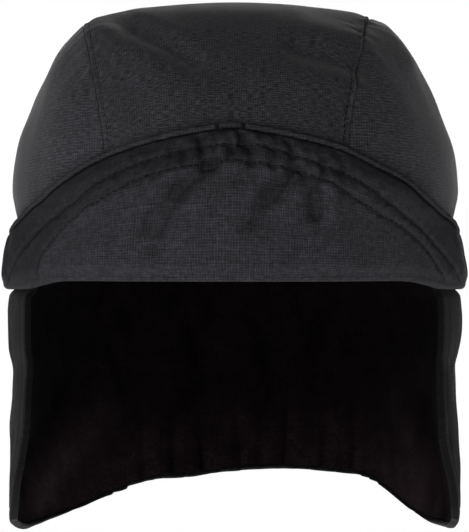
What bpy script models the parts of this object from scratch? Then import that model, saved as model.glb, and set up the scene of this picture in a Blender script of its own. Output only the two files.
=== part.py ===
"""Waterproof ear flap cap: three crown panels, a turned-up peak of two cloths and a lined flap round ears and nape.

Metres, +Z up. The front faces -Y and right is +X, as seen from the front. The origin is the middle of the head
opening, in the plane of the crown's rim.
"""
import math

import bmesh
import bpy
import numpy as np

# Crown, measured on its outside
CROWN_WIDTH = 0.1824
CROWN_FRONT = 0.107
CROWN_BACK = 0.108
CROWN_HEIGHT = 0.112
CROWN_WALL = 0.0025
CENTRE_PANEL_WIDTH = 0.1236

# Peak, turned up against the crown's front
PEAK_HEIGHT = 0.0596
PEAK_STAND = 0.006
PEAK_UNDER_WALL = 0.0012
PEAK_TOP_WALL = 0.001
PEAK_ROLL_WIDTH = 0.0021
PEAK_ROLL_PROUD = 0.0002
PEAK_FOLD_RADIUS = 0.0022
PEAK_FOLD_DROP = 0.0016
PEAK_FOLD_REACH = 0.0027

# Flap round ears and nape, hanging from the rim
FLAP_DROP = 0.1045
FLAP_SHELL_WALL = 0.001
FLAP_LINING_WALL = 0.0016
FLAP_HEM_WIDTH = 0.0012
FLAP_HEM_PROUD = 0.0002

# Folds and seams
FOLD_DEPTH = 0.0015
FOLD_SPREAD = 0.006
SEAM_DIP = 0.0006
SEAM_SPREAD = 0.004
GATHER_DEPTH = 0.0018

# Clearance between neighbouring pieces, and the length over which a rolled edge falls to the cloth beside it
GAP = 0.0003
ROLL_SLOPE = 0.0004

# Facets
CROWN_ROWS = 26
CENTRE_COLUMNS = 14
SIDE_COLUMNS = 18
SIDE_ROWS = 8
PEAK_COLUMNS = 44
PEAK_ROWS = 8
PEAK_HOOK_ROWS = 3
EAR_COLUMNS = 13
NAPE_COLUMNS = 24
FLAP_ROWS = 8
STEPS = 24
SHARP_ANGLE = math.radians(50)

# Search for points on the outside: halvings of a ray, how far its neighbours turn from it, the step in angle and
# height between neighbours, the least divisor, and a reach that is surely outside
HALVINGS = 40
DIRECTION_STEP = 0.002
PROBE = 1e-4
TINY = 1e-9
FAR = 9.0

# A direction that isn't level, upright or in a plane of the grid, used to set up two directions across another
ASLANT = (0.3, 0.2, 0.9)

# Share of a height over which cloth leaves the rim level before it takes its own slope and folds
LEVEL_SHARE = 0.1

# Sections of the crown: height as a share of CROWN_HEIGHT; half width, front and back as shares of half
# CROWN_WIDTH, CROWN_FRONT and CROWN_BACK; and how square the oval is, 2 being an ellipse.
CROWN_SECTIONS = (
    (0.000, 0.965, 0.984, 0.977, 2.10),
    (0.150, 0.967, 0.991, 0.993, 2.10),
    (0.205, 0.976, 0.991, 0.997, 2.10),
    (0.250, 0.989, 0.989, 1.000, 2.12),
    (0.320, 1.000, 0.983, 1.000, 2.15),
    (0.471, 0.974, 0.946, 0.963, 2.20),
    (0.606, 0.914, 0.874, 0.894, 2.25),
    (0.716, 0.855, 0.785, 0.806, 2.30),
    (0.804, 0.794, 0.687, 0.708, 2.35),
    (0.880, 0.722, 0.570, 0.593, 2.35),
    (0.933, 0.645, 0.453, 0.477, 2.30),
    (0.963, 0.532, 0.346, 0.370, 2.20),
    (0.983, 0.350, 0.227, 0.243, 2.10),
    (0.9955, 0.172, 0.110, 0.118, 2.00),
    (1.000, 0.000, 0.000, 0.000, 2.00),
)

# Sections of the flap: drop below the rim as a share of FLAP_DROP; the other columns as above.
FLAP_SECTIONS = (
    (0.00, 0.965, 0.984, 0.977, 2.10),
    (0.05, 0.974, 0.990, 0.981, 2.10),
    (0.09, 1.010, 1.000, 0.987, 2.10),
    (0.13, 1.010, 1.000, 0.990, 2.15),
    (0.21, 1.007, 1.000, 0.988, 2.20),
    (0.28, 1.001, 1.000, 0.983, 2.20),
    (0.34, 0.990, 1.000, 0.977, 2.20),
    (0.42, 0.993, 1.000, 0.968, 2.20),
    (0.56, 1.000, 1.000, 0.950, 2.20),
    (0.70, 1.005, 1.000, 0.925, 2.20),
    (0.82, 1.012, 1.000, 0.900, 2.20),
    (0.93, 1.009, 1.000, 0.885, 2.20),
    (0.97, 0.997, 1.000, 0.880, 2.20),
    (1.01, 0.970, 1.000, 0.872, 2.20),
)

# Reach of the centre panel to its left and right seam, at even steps from the front rim over the top to the back
# rim, as shares of half CENTRE_PANEL_WIDTH.
SEAM_SHARES = (
    (0.760, 0.700),
    (0.825, 0.722),
    (0.935, 0.825),
    (1.000, 0.900),
    (0.940, 0.880),
    (0.820, 0.800),
    (0.730, 0.730),
)
SEAM_CORNER = 0.19

# Folds of the crown's front: start and end across and up, as shares of half CROWN_WIDTH and CROWN_HEIGHT, and
# spread and rise as shares of FOLD_SPREAD and FOLD_DEPTH.
CROWN_FOLDS = (
    (-0.54, 0.92, -0.40, 0.83, 0.9, -1.3),
    (-0.40, 0.83, -0.20, 0.79, 1.1, -1.0),
    (-0.46, 0.95, -0.24, 0.85, 1.0, 0.9),
    (0.42, 0.96, 0.60, 0.90, 0.9, 0.6),
    (0.28, 0.80, 0.50, 0.75, 1.2, 0.5),
    (0.75, 0.76, 0.84, 0.60, 1.2, 0.6),
)

# Free edge of the peak: angle from the front in degrees, and height above the rim at its left and at its right as
# shares of PEAK_HEIGHT. PEAK_END goes on from both its ends, with an angle and a height share.
PEAK_EDGE = (
    (0.0, 0.976, 0.976),
    (8.0, 0.950, 0.944),
    (16.0, 0.905, 0.899),
    (24.0, 0.842, 0.836),
    (31.5, 0.763, 0.741),
    (39.0, 0.660, 0.658),
    (47.0, 0.556, 0.552),
    (56.0, 0.474, 0.465),
    (65.0, 0.405, 0.415),
    (75.0, 0.358, 0.365),
    (84.0, 0.330, 0.330),
)
PEAK_END = ((84.0, 0.330), (91.0, 0.285), (96.0, 0.20), (98.5, 0.07), (99.0, -0.06))

# Fold line of the peak: angle from the front, and depth below the rim as a share of PEAK_FOLD_DROP.
PEAK_FOLD = ((0.0, 1.0), (20.0, 1.0), (40.0, 1.05), (49.0, 2.0), (58.0, 3.05), (75.0, 3.25), (99.0, 3.25))

# Distance of the peak's face from the crown, from fold to free edge, as shares of PEAK_STAND.
PEAK_STANDS = (
    (0.00, 1.00),
    (0.15, 1.12),
    (0.30, 1.12),
    (0.46, 1.06),
    (0.62, 0.96),
    (0.78, 0.80),
    (0.90, 0.64),
    (1.00, 0.56),
)

# Folds of the peak's face: start and end across and up, as shares of half CROWN_WIDTH and PEAK_HEIGHT, and spread
# and rise as shares of FOLD_SPREAD and FOLD_DEPTH.
PEAK_FOLDS = (
    (-0.04, 0.80, -0.30, 0.52, 0.7, 0.7),
    (-0.30, 0.52, -0.34, 0.28, 0.9, 0.6),
    (0.26, 0.74, 0.08, 0.55, 0.7, 0.6),
    (0.34, 0.72, 0.32, 0.54, 0.5, 0.5),
)

# Front edge of the flap: drop as a share of FLAP_DROP, and angle from the nape in degrees.
FLAP_FRONT = (
    (0.00, 120.0),
    (0.30, 120.0),
    (0.55, 119.5),
    (0.70, 115.5),
    (0.80, 111.0),
    (0.88, 106.5),
    (0.945, 101.0),
)

# Lower hem of the flap from the right tip round the nape to the left tip: angle from the nape, and drop.
FLAP_HEM = (
    (101.0, 0.945),
    (92.0, 0.985),
    (80.0, 1.000),
    (70.0, 1.000),
    (60.0, 0.985),
    (50.0, 0.928),
    (42.0, 0.868),
    (36.0, 0.830),
    (30.0, 0.817),
    (15.0, 0.803),
    (0.0, 0.813),
    (-12.0, 0.837),
    (-23.0, 0.850),
    (-35.0, 0.910),
    (-50.0, 0.972),
    (-65.0, 1.000),
    (-80.0, 1.005),
    (-92.0, 0.978),
    (-101.0, 0.945),
)

# Gathers of the elastic nape hem: angle from the nape, half spread in degrees, how far it rises as a share of
# FLAP_DROP, and depth as a share of GATHER_DEPTH.
GATHERS = (
    (-25.0, 3.0, 0.28, -0.7),
    (-17.0, 2.6, 0.34, -1.0),
    (-9.5, 2.4, 0.40, -1.0),
    (0.0, 2.6, 0.42, -1.0),
    (6.0, 2.2, 0.25, -0.6),
    (12.5, 2.6, 0.45, -1.0),
    (23.5, 2.6, 0.40, -1.0),
    (31.0, 2.4, 0.34, -0.9),
    (-30.0, 6.0, 0.60, 0.5),
    (-5.0, 5.0, 0.55, 0.5),
    (18.0, 5.0, 0.60, 0.6),
)

# Soft folds of the ear parts: angle from the nape and drop at start and end, spread and rise.
EAR_FOLDS = (
    (-52.0, 0.50, -76.0, 0.88, 1.8, 1.3),
    (-64.0, 0.45, -84.0, 0.80, 1.5, -0.9),
    (60.0, 0.55, 74.0, 0.92, 1.8, 0.9),
    (96.0, 0.16, 100.0, 0.30, 0.9, 0.5),
    (-96.0, 0.14, -101.0, 0.30, 0.9, 0.5),
)

# Right and left end of the gathered part of the hem: angles from the nape in degrees.
NAPE_SPAN = (36.0, -30.0)

COLLECTION_NAME = "ear_flap_cap"

# Colours of the cloths, as linear values, and their roughness
CROWN_COLOUR = (0.022, 0.022, 0.024, 1.0)
SIDE_COLOUR = (0.027, 0.027, 0.030, 1.0)
PEAK_COLOUR = (0.024, 0.024, 0.027, 1.0)
FLAP_COLOUR = (0.026, 0.026, 0.029, 1.0)
LINING_COLOUR = (0.004, 0.0035, 0.004, 1.0)
CLOTH_ROUGHNESS = 0.7
FLEECE_ROUGHNESS = 0.95


def smooth_rows(rows, after=None):
    """A smooth curve through every row, with STEPS points from each row to the next."""
    rows = np.asarray(rows, float)
    before = 2 * rows[0] - rows[1]
    after = 2 * rows[-1] - rows[-2] if after is None else np.asarray(after, float)
    knots = np.vstack([before, rows, after])
    f = (np.arange(STEPS) / STEPS)[:, None]
    curve = []
    for a, b, c, d in zip(knots, knots[1:], knots[2:], knots[3:]):
        curve.append(b + 0.5 * f * (c - a + f * (2 * a - 5 * b + 4 * c - d + f * (3 * (b - c) + d - a))))
    return np.vstack(curve + [rows[-1:]])


def even_points(line, count):
    """count + 1 points evenly spaced along a polyline."""
    steps = np.linalg.norm(np.diff(line, axis=0), axis=1)
    length = np.concatenate([[0.0], np.cumsum(steps)])
    at = np.linspace(0.0, length[-1], count + 1)
    return np.column_stack([np.interp(at, length, column) for column in line.T])


APEX_MIRROR = np.array(CROWN_SECTIONS[-2]) * (1, -1, -1, -1, 1)
CROWN_CURVE = smooth_rows(CROWN_SECTIONS, after=APEX_MIRROR)
FLAP_CURVE = smooth_rows(FLAP_SECTIONS)
SEAM_CURVE = smooth_rows(SEAM_SHARES)
STAND_CURVE = smooth_rows(PEAK_STANDS)
BODY_SIZES = (CROWN_WIDTH / 2, CROWN_FRONT, CROWN_BACK, 1.0)


def section_at(height):
    """Half width, front, back and squareness of the body's oval at a height above the rim."""
    up = np.asarray(height, float) / CROWN_HEIGHT
    down = -np.asarray(height, float) / FLAP_DROP
    values = []
    for column, size in enumerate(BODY_SIZES, start=1):
        above = np.interp(up, CROWN_CURVE[:, 0], CROWN_CURVE[:, column])
        below = np.interp(down, FLAP_CURVE[:, 0], FLAP_CURVE[:, column])
        values.append(size * np.where(up >= 0, above, below))
    return values


def oval_reach(angle, section):
    """Distance from the middle of an oval to its line, at an angle from the front."""
    side, front, back, power = section
    sine = np.abs(np.sin(angle))
    cosine = np.cos(angle)
    length = np.where(cosine > 0, front, back)
    return ((sine / side) ** power + (np.abs(cosine) / length) ** power) ** (-1 / power)


def body_point(angle, height, section_height=None):
    """Point of the body's outside at an angle from the front and a height above the rim."""
    section = section_at(height if section_height is None else section_height)
    reach = oval_reach(angle, section)
    return np.stack([reach * np.sin(angle), -reach * np.cos(angle), height + 0 * reach], axis=-1)


def unit(vectors):
    return vectors / np.linalg.norm(vectors, axis=-1, keepdims=True)


def outside_along(start, direction):
    """Where rays from points inside the crown meet its outside."""
    near = np.zeros(direction.shape[:-1])
    far = np.full(direction.shape[:-1], 2 * (CROWN_WIDTH + CROWN_HEIGHT))
    for _ in range(HALVINGS):
        middle = (near + far) / 2
        point = start + direction * middle[..., None]
        side, front, back, power = section_at(np.minimum(point[..., 2], CROWN_HEIGHT))
        length = np.where(point[..., 1] < 0, front, back)
        x = np.minimum(np.abs(point[..., 0]) / np.maximum(side, TINY), FAR)
        y = np.minimum(np.abs(point[..., 1]) / np.maximum(length, TINY), FAR)
        inside = (x ** power + y ** power < 1) & (point[..., 2] < CROWN_HEIGHT)
        near = np.where(inside, middle, near)
        far = np.where(inside, far, middle)
    return start + direction * near[..., None]


def seam_reach(turn, side):
    """Reach of the centre panel at a turn from front rim to back rim, to its right seam if side is positive."""
    places = np.linspace(0, 1, len(SEAM_CURVE))
    left, right = (np.interp(turn / math.pi, places, column) for column in SEAM_CURVE.T)
    return np.where(side > 0, right, left) * CENTRE_PANEL_WIDTH / 2


def fold_rise(x, z, folds, width, height):
    """Rise of a set of folds at points given across and up."""
    rise = np.zeros(np.shape(x))
    for x0, z0, x1, z1, spread, depth in folds:
        ax, az = x0 * width, z0 * height
        bx, bz = (x1 - x0) * width, (z1 - z0) * height
        along = np.clip(((x - ax) * bx + (z - az) * bz) / (bx * bx + bz * bz), 0, 1)
        away = np.hypot(x - ax - along * bx, z - az - along * bz)
        rise = rise + depth * FOLD_DEPTH * np.exp(-(away / (spread * FOLD_SPREAD)) ** 2)
    return rise


def crown_outward(points):
    """Directions that look out of the crown, level at its rim so that the rim stays flat."""
    along = unit(points)
    side = unit(np.cross(along, ASLANT))
    over = np.cross(along, side)
    start = np.zeros(points.shape)
    turned = [outside_along(start, unit(along + DIRECTION_STEP * way)) for way in (side, -side, over, -over)]
    outward = unit(np.cross(turned[0] - turned[1], turned[2] - turned[3]))
    outward = outward * np.sign(np.sum(outward * along, axis=-1, keepdims=True))
    lean = np.clip(points[:, 2:] / (LEVEL_SHARE * CROWN_HEIGHT), 0, 1)
    return unit(outward * (1, 1, 0) + outward * (0, 0, 1) * lean)


def crown_relief(points):
    """The crown's outside with its folds, and with its seams drawn in."""
    x, y, z = points.T
    front = np.clip(-y / (LEVEL_SHARE * CROWN_FRONT), 0, 1)
    rise = front * fold_rise(x, z, CROWN_FOLDS, CROWN_WIDTH / 2, CROWN_HEIGHT)
    beside = (np.abs(x) - seam_reach(np.arctan2(z, -y), x)) / SEAM_SPREAD
    rise = rise - SEAM_DIP * np.exp(-beside ** 2)
    return points + rise[:, None] * crown_outward(points)


def crown_slice(turn, x):
    """Points of the crown's outside at a turn from the front rim, in the planes at these x."""
    turn, x = np.broadcast_arrays(turn, x)
    start = np.stack([x, 0 * x, 0 * x], axis=-1)
    direction = np.stack([0 * x, -np.cos(turn), np.sin(turn)], axis=-1)
    return outside_along(start, direction)


def patch(bottom, top, left, right):
    """Grid of points between four lines, as rows from bottom to top."""
    v = np.linspace(0, 1, len(left))[:, None, None]
    u = np.linspace(0, 1, len(bottom))[None, :, None]
    across = (1 - v) * bottom[None] + v * top[None]
    along = (1 - u) * left[:, None] + u * right[:, None]
    corners = (1 - v) * ((1 - u) * bottom[0] + u * bottom[-1]) + v * ((1 - u) * top[0] + u * top[-1])
    return across + along - corners


def inset_line(line, distance):
    """A line in the flat, moved to its left side by a distance."""
    ahead = unit(np.gradient(line, axis=0))
    return line + distance * np.column_stack([-ahead[:, 1], ahead[:, 0]])


def material(name, colour, roughness):
    made = bpy.data.materials.new(name)
    made.use_nodes = True
    shader = made.node_tree.nodes["Principled BSDF"]
    shader.inputs["Base Color"].default_value = colour
    shader.inputs["Roughness"].default_value = roughness
    shader.inputs["Metallic"].default_value = 0.0
    return made


def add_cloth(name, outside, inside, faces, look):
    """A closed cloth piece between two faces of the same grid, joined round their border."""
    count = len(outside)
    edges = {}
    for face in faces:
        for a, b in zip(face, face[1:] + face[:1]):
            edges[(a, b)] = edges.get((a, b), 0) + 1
    border = [(a, b) for a, b in edges if (b, a) not in edges]
    walls = [half for a, b in border for half in halves(b, a, a + count, b + count)]
    backs = [tuple(index + count for index in face[::-1]) for face in faces]
    mesh = bpy.data.meshes.new(name)
    mesh.from_pydata(np.vstack([outside, inside]).tolist(), [], faces + backs + walls)
    mesh.materials.append(look)
    shell = bmesh.new()
    shell.from_mesh(mesh)
    bmesh.ops.recalc_face_normals(shell, faces=shell.faces)
    shell.to_mesh(mesh)
    shell.free()
    mesh.shade_smooth()
    mesh.set_sharp_from_angle(angle=SHARP_ANGLE)
    cloth = bpy.data.objects.new(name, mesh)
    bpy.data.collections[COLLECTION_NAME].objects.link(cloth)


def halves(a, b, c, d):
    """A quad as two triangles, cut the same way in every cloth so that cloths in layers stay parallel."""
    return [(a, b, c), (a, c, d)]


def grid_faces(rows, columns):
    """Triangles of a grid whose points run row by row."""
    faces = []
    for row in range(rows):
        for column in range(columns):
            a = row * (columns + 1) + column
            faces += halves(a, a + 1, a + columns + 2, a + columns + 1)
    return faces


def border_numbers(rows, columns):
    """Point numbers of a grid's side, last row and other side, in order."""
    width = columns + 1
    first = [row * width for row in range(rows)]
    across = [rows * width + column for column in range(width)]
    last = [row * width + columns for row in range(rows - 1, -1, -1)]
    return first + across + last


def strip_faces(inner, outer):
    """Triangles between two lines of point numbers, turned as the grid's are."""
    faces = []
    for k in range(len(outer) - 1):
        faces += halves(inner[k], inner[k + 1], outer[k + 1], outer[k])
    return faces


def crown_cloth(name, points, rows, columns, look):
    """A panel of the crown, with its wall of the same thickness through its folds."""
    points = points.reshape(-1, 3)
    outside = crown_relief(points)
    inside = outside - crown_outward(points) * CROWN_WALL
    add_cloth(name, outside, inside, grid_faces(rows, columns), look)


def build_centre_panel():
    turn = np.linspace(0, math.pi, CROWN_ROWS + 1)[:, None]
    across = np.linspace(-1, 1, CENTRE_COLUMNS + 1)[None, :]
    points = crown_slice(turn, across * (seam_reach(turn, across) - GAP / 2))
    look = material("crown_centre_cloth", CROWN_COLOUR, CLOTH_ROUGHNESS)
    crown_cloth("crown_centre_panel", points, CROWN_ROWS, CENTRE_COLUMNS, look)


def build_side_panel(name, side):
    """side is 1 for the right panel and -1 for the left one."""
    def seam(turns):
        return crown_slice(turns, side * (seam_reach(turns, side) + GAP / 2))

    corner = SEAM_CORNER * math.pi
    left = seam(np.linspace(0, corner, SIDE_ROWS + 1))
    right = seam(np.linspace(math.pi, math.pi - corner, SIDE_ROWS + 1))
    top = seam(np.linspace(corner, math.pi - corner, SIDE_COLUMNS + 1))
    first = math.atan2(abs(left[0, 0]), -left[0, 1])
    last = math.atan2(abs(right[0, 0]), -right[0, 1])
    bottom = body_point(side * np.linspace(first, last, SIDE_COLUMNS + 1), 0.0)
    points = patch(bottom, top, left, right)
    points = outside_along(np.zeros(points.shape), unit(points))
    look = material(name + "_cloth", SIDE_COLOUR, CLOTH_ROUGHNESS)
    crown_cloth(name, points, SIDE_ROWS, SIDE_COLUMNS, look)


# The flat in which the peak and the flap are laid out has the angle times this radius across, and the height up.
FLAT_RADIUS = (CROWN_WIDTH / 2 + CROWN_FRONT) / 2


def peak_fold_height(angle):
    curve = smooth_rows(PEAK_FOLD)
    return -PEAK_FOLD_DROP * np.interp(np.abs(np.degrees(angle)), curve[:, 0], curve[:, 1])


def flat_line(rows, height):
    """A line in the flat from rows of an angle in degrees and a height share."""
    return np.column_stack([np.radians(rows[:, 0]) * FLAT_RADIUS, rows[:, 1] * height])


def peak_edge_rows():
    """Rows of the peak's free edge from left to right: an angle and a height share."""
    angle, left, right = np.array(PEAK_EDGE).T
    return np.vstack([np.column_stack([-angle, left])[:0:-1], np.column_stack([angle, right])])


def peak_lines(inset, bottom_rise):
    """The peak's four lines in the flat, each drawn in from the free edge by the inset."""
    over = inset_line(flat_line(smooth_rows(peak_edge_rows()), PEAK_HEIGHT), -inset)
    end = inset_line(flat_line(smooth_rows(PEAK_END), PEAK_HEIGHT), -inset)
    end[0] = over[-1]
    bottom_angle = np.interp(bottom_rise, end[::-1, 1], end[::-1, 0]) / FLAT_RADIUS
    bottom_angle = min(bottom_angle, end[-1, 0] / FLAT_RADIUS)
    foot = peak_fold_height(bottom_angle) + bottom_rise
    end = end[end[:, 1] > foot + GAP]
    end = np.vstack([end, [bottom_angle * FLAT_RADIUS, foot]])
    angles = np.linspace(-bottom_angle, bottom_angle, PEAK_COLUMNS + 1)
    bottom = np.column_stack([angles * FLAT_RADIUS, peak_fold_height(angles) + bottom_rise])
    right = even_points(end[::-1], PEAK_ROWS)
    return bottom, even_points(over, PEAK_COLUMNS), right * (-1, 1), right


def peak_face(flat, stand):
    """Points at a distance from the crown's front, from points in the flat."""
    angle, height = flat[..., 0] / FLAT_RADIUS, flat[..., 1]
    on_crown = np.maximum(height, 0)
    here = body_point(angle, height, on_crown)
    ahead = body_point(angle + PROBE, height, on_crown) - here
    above = body_point(angle, on_crown + PROBE) - body_point(angle, on_crown)
    outward = unit(np.cross(ahead, above))
    return here + outward * np.asarray(stand)[..., None]


def peak_stand(flat):
    """Distance of the peak's face from the crown at points in the flat."""
    angle, height = flat[..., 0] / FLAT_RADIUS, flat[..., 1]
    end = np.array(PEAK_END[1:])
    edge = flat_line(smooth_rows(np.vstack([end[::-1] * (-1, 1), peak_edge_rows(), end])), PEAK_HEIGHT)
    fold = peak_fold_height(angle)
    top = np.interp(flat[..., 0], edge[:, 0], edge[:, 1])
    share = np.clip((height - fold) / np.maximum(top - fold, GAP), 0, 1)
    return PEAK_STAND * np.interp(share, STAND_CURVE[:, 0], STAND_CURVE[:, 1])


def build_peak_under():
    """The cloth that faces forward, with its foot rolled in under the fold."""
    flat = patch(*peak_lines(PEAK_ROLL_WIDTH + ROLL_SLOPE + GAP, PEAK_FOLD_RADIUS))
    x = FLAT_RADIUS * np.sin(flat[..., 0] / FLAT_RADIUS)
    stand = peak_stand(flat) + fold_rise(x, flat[..., 1], PEAK_FOLDS, CROWN_WIDTH / 2, PEAK_HEIGHT)
    layers = []
    for depth in (0.0, PEAK_UNDER_WALL):
        radius = PEAK_FOLD_RADIUS - depth
        rows = [peak_face(flat[0] - (0, radius), 0 * stand[0] + PEAK_FOLD_REACH)]
        for step in range(PEAK_HOOK_ROWS, 0, -1):
            bend = step / PEAK_HOOK_ROWS * math.pi / 2
            middle = stand[0] - PEAK_FOLD_RADIUS
            rows.append(peak_face(flat[0] - (0, radius * math.sin(bend)), middle + radius * math.cos(bend)))
        layer = np.vstack([np.array(rows), peak_face(flat, stand - depth)])
        layers.append(layer.reshape(-1, 3))
    look = material("peak_under_cloth", PEAK_COLOUR, CLOTH_ROUGHNESS)
    faces = grid_faces(PEAK_ROWS + 1 + PEAK_HOOK_ROWS, PEAK_COLUMNS)
    add_cloth("peak_under_cloth", layers[0], layers[1], faces, look)


def edged_grid(lines_at, insets):
    """A grid in the flat drawn in by the last inset, and rings round it at the others, with their triangles.

    Returns the points, their triangles, and how many of the points lie in the grid.
    """
    rings = []
    for inset in insets:
        bottom, top, left, right = lines_at(inset)
        rings.append(np.vstack([left[:-1], top, right[::-1][1:]]))
    grid = patch(bottom, top, left, right)
    rows, columns = grid.shape[0] - 1, grid.shape[1] - 1
    count = (rows + 1) * (columns + 1)
    length = len(rings[0])
    lines = [border_numbers(rows, columns)]
    lines += [list(range(count + k * length, count + (k + 1) * length)) for k in range(len(rings) - 1)]
    faces = grid_faces(rows, columns)
    for inner, outer in zip(lines, lines[1:]):
        faces += strip_faces(inner, outer)
    return np.vstack([grid.reshape(-1, 2)] + rings[-2::-1]), faces, count


def build_peak_top():
    """The cloth that lies against the crown, rolled forward along the free edge."""
    foot = PEAK_UNDER_WALL + 2 * GAP
    insets = (0, PEAK_ROLL_WIDTH, PEAK_ROLL_WIDTH + ROLL_SLOPE)
    flat, faces, count = edged_grid(lambda inset: peak_lines(inset, foot), insets)
    stand = peak_stand(flat)
    rolled = np.arange(len(flat)) >= count
    front = stand + np.where(rolled, PEAK_ROLL_PROUD, -PEAK_UNDER_WALL - GAP)
    back = stand - PEAK_UNDER_WALL - GAP - PEAK_TOP_WALL
    look = material("peak_top_cloth", PEAK_COLOUR, CLOTH_ROUGHNESS)
    add_cloth("peak_top_cloth", peak_face(flat, front), peak_face(flat, back), faces, look)


def flap_lines(inset):
    """The flap's four lines in the flat, from the right front edge round the nape to the left one."""
    front = smooth_rows(FLAP_FRONT)[:, ::-1]
    right = flat_line(front, -FLAP_DROP)
    left = right * (-1, 1)
    hem = flat_line(smooth_rows(FLAP_HEM), -FLAP_DROP)
    outline = np.vstack([right[:-1], hem, left[::-1][1:]])
    drawn = inset_line(outline, -inset)
    drawn[:, 1] = np.minimum(drawn[:, 1], -GAP)
    first, last = len(right) - 1, len(outline) - len(left)
    right = even_points(drawn[:first + 1], FLAP_ROWS)
    left = even_points(drawn[last:][::-1], FLAP_ROWS)
    hem = drawn[first:last + 1]
    nape_ends = np.radians(NAPE_SPAN) * FLAT_RADIUS
    cuts = [int(np.argmin(np.abs(hem[:, 0] - at))) for at in nape_ends]
    hem = np.vstack([
        even_points(hem[:cuts[0] + 1], EAR_COLUMNS)[:-1],
        even_points(hem[cuts[0]:cuts[1] + 1], NAPE_COLUMNS)[:-1],
        even_points(hem[cuts[1]:], EAR_COLUMNS),
    ])
    rim = np.column_stack([
        np.interp(hem[:, 0], [hem[-1, 0], hem[0, 0]], [left[0, 0], right[0, 0]]),
        np.full(len(hem), -GAP),
    ])
    return rim, hem, right, left


def flap_relief(flat):
    """How far the flap's cloth stands out from its plain form at points in the flat."""
    angle = np.degrees(flat[..., 0] / FLAT_RADIUS)
    drop = -flat[..., 1] / FLAP_DROP
    hem = smooth_rows(FLAP_HEM)[::-1]
    lowest = np.interp(angle, hem[:, 0], hem[:, 1])
    rise = np.zeros(angle.shape)
    for at, spread, height, depth in GATHERS:
        fade = np.clip(1 - (lowest - drop) / height, 0, 1)
        rise = rise + depth * GATHER_DEPTH * fade * np.exp(-((angle - at) / spread) ** 2)
    for a0, d0, a1, d1, spread, depth in EAR_FOLDS:
        row = (math.radians(a0) * FLAT_RADIUS, -d0 * FLAP_DROP, math.radians(a1) * FLAT_RADIUS, -d1 * FLAP_DROP)
        rise = rise + fold_rise(flat[..., 0], flat[..., 1], (row + (spread, depth),), 1.0, 1.0)
    return rise * np.clip(drop / LEVEL_SHARE, 0, 1)


def flap_face(flat, depth):
    """Points of the flap at a depth below its outside, from points in the flat."""
    angle, height = math.pi - flat[..., 0] / FLAT_RADIUS, flat[..., 1]

    def outside(turned, raised):
        laid = np.stack([(math.pi - turned) * FLAT_RADIUS, raised], axis=-1)
        point = body_point(turned, raised)
        level = unit(point * (1, 1, 0))
        return point + level * flap_relief(laid)[..., None]

    here = outside(angle, height)
    ahead = outside(angle + PROBE, height) - here
    above = here - outside(angle, height - PROBE)
    outward = unit(np.cross(ahead, above))
    outward = outward * np.sign(np.sum(outward * here * (1, 1, 0), axis=-1, keepdims=True))
    lean = np.clip(-height / (LEVEL_SHARE * FLAP_DROP), 0, 1)[..., None]
    outward = unit(outward * (1, 1, 0) + outward * (0, 0, 1) * lean)
    return here - outward * depth[..., None]


def build_flap_shell():
    """The waterproof outer cloth, its edge turned in round the lining."""
    insets = (0, FLAP_HEM_WIDTH, FLAP_HEM_WIDTH + ROLL_SLOPE)
    flat, faces, count = edged_grid(flap_lines, insets)
    turned = FLAP_SHELL_WALL + GAP + FLAP_LINING_WALL + FLAP_HEM_PROUD
    depth = np.where(np.arange(len(flat)) >= count, turned, FLAP_SHELL_WALL)
    look = material("flap_shell_cloth", FLAP_COLOUR, CLOTH_ROUGHNESS)
    add_cloth("flap_shell", flap_face(flat, 0 * depth), flap_face(flat, depth), faces, look)


def build_flap_lining():
    """The fleece inside the flap, held by the turned edge of the outer cloth."""
    flat = patch(*flap_lines(FLAP_HEM_WIDTH + ROLL_SLOPE))
    drawn = patch(*flap_lines(FLAP_HEM_WIDTH + ROLL_SLOPE + GAP))
    rows, columns = flat.shape[0] - 1, flat.shape[1] - 1
    border = border_numbers(rows, columns)
    faces = grid_faces(rows, columns)
    flat = flat.reshape(-1, 2)
    flat[border] = drawn.reshape(-1, 2)[border]
    depth = np.full(len(flat), FLAP_SHELL_WALL + GAP)
    look = material("flap_lining_fleece", LINING_COLOUR, FLEECE_ROUGHNESS)
    add_cloth("flap_lining", flap_face(flat, depth), flap_face(flat, depth + FLAP_LINING_WALL), faces, look)


def build():
    for old in list(bpy.data.objects):
        bpy.data.objects.remove(old, do_unlink=True)
    collection = bpy.data.collections.new(COLLECTION_NAME)
    bpy.context.scene.collection.children.link(collection)
    build_centre_panel()
    build_side_panel("crown_side_right", 1)
    build_side_panel("crown_side_left", -1)
    build_peak_under()
    build_peak_top()
    build_flap_shell()
    build_flap_lining()


build()
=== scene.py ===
"""Looks of the waterproof ear flap cap: cloths with seams, stitches, puckers and gathers, and the fleece.

Metres, +Z up, in the frame of the solids: the front faces -Y, and right is +X seen from the front.
The origin is the middle of the head opening, in the plane of the crown's rim.
"""
import functools
import math

import bpy
import numpy as np
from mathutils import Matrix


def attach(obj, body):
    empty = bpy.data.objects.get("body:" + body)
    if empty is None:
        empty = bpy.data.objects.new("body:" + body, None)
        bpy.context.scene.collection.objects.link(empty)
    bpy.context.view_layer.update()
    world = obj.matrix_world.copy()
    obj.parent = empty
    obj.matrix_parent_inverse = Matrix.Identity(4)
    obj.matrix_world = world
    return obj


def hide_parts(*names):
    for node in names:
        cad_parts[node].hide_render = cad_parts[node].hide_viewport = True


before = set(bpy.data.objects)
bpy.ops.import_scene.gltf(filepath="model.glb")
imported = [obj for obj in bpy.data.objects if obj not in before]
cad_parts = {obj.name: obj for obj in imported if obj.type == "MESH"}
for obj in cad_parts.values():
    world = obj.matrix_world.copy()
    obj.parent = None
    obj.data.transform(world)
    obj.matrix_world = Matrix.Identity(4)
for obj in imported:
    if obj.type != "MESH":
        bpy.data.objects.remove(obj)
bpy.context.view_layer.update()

# Crown, measured on its outside
CROWN_WIDTH = 0.1824
CROWN_FRONT = 0.107
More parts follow.
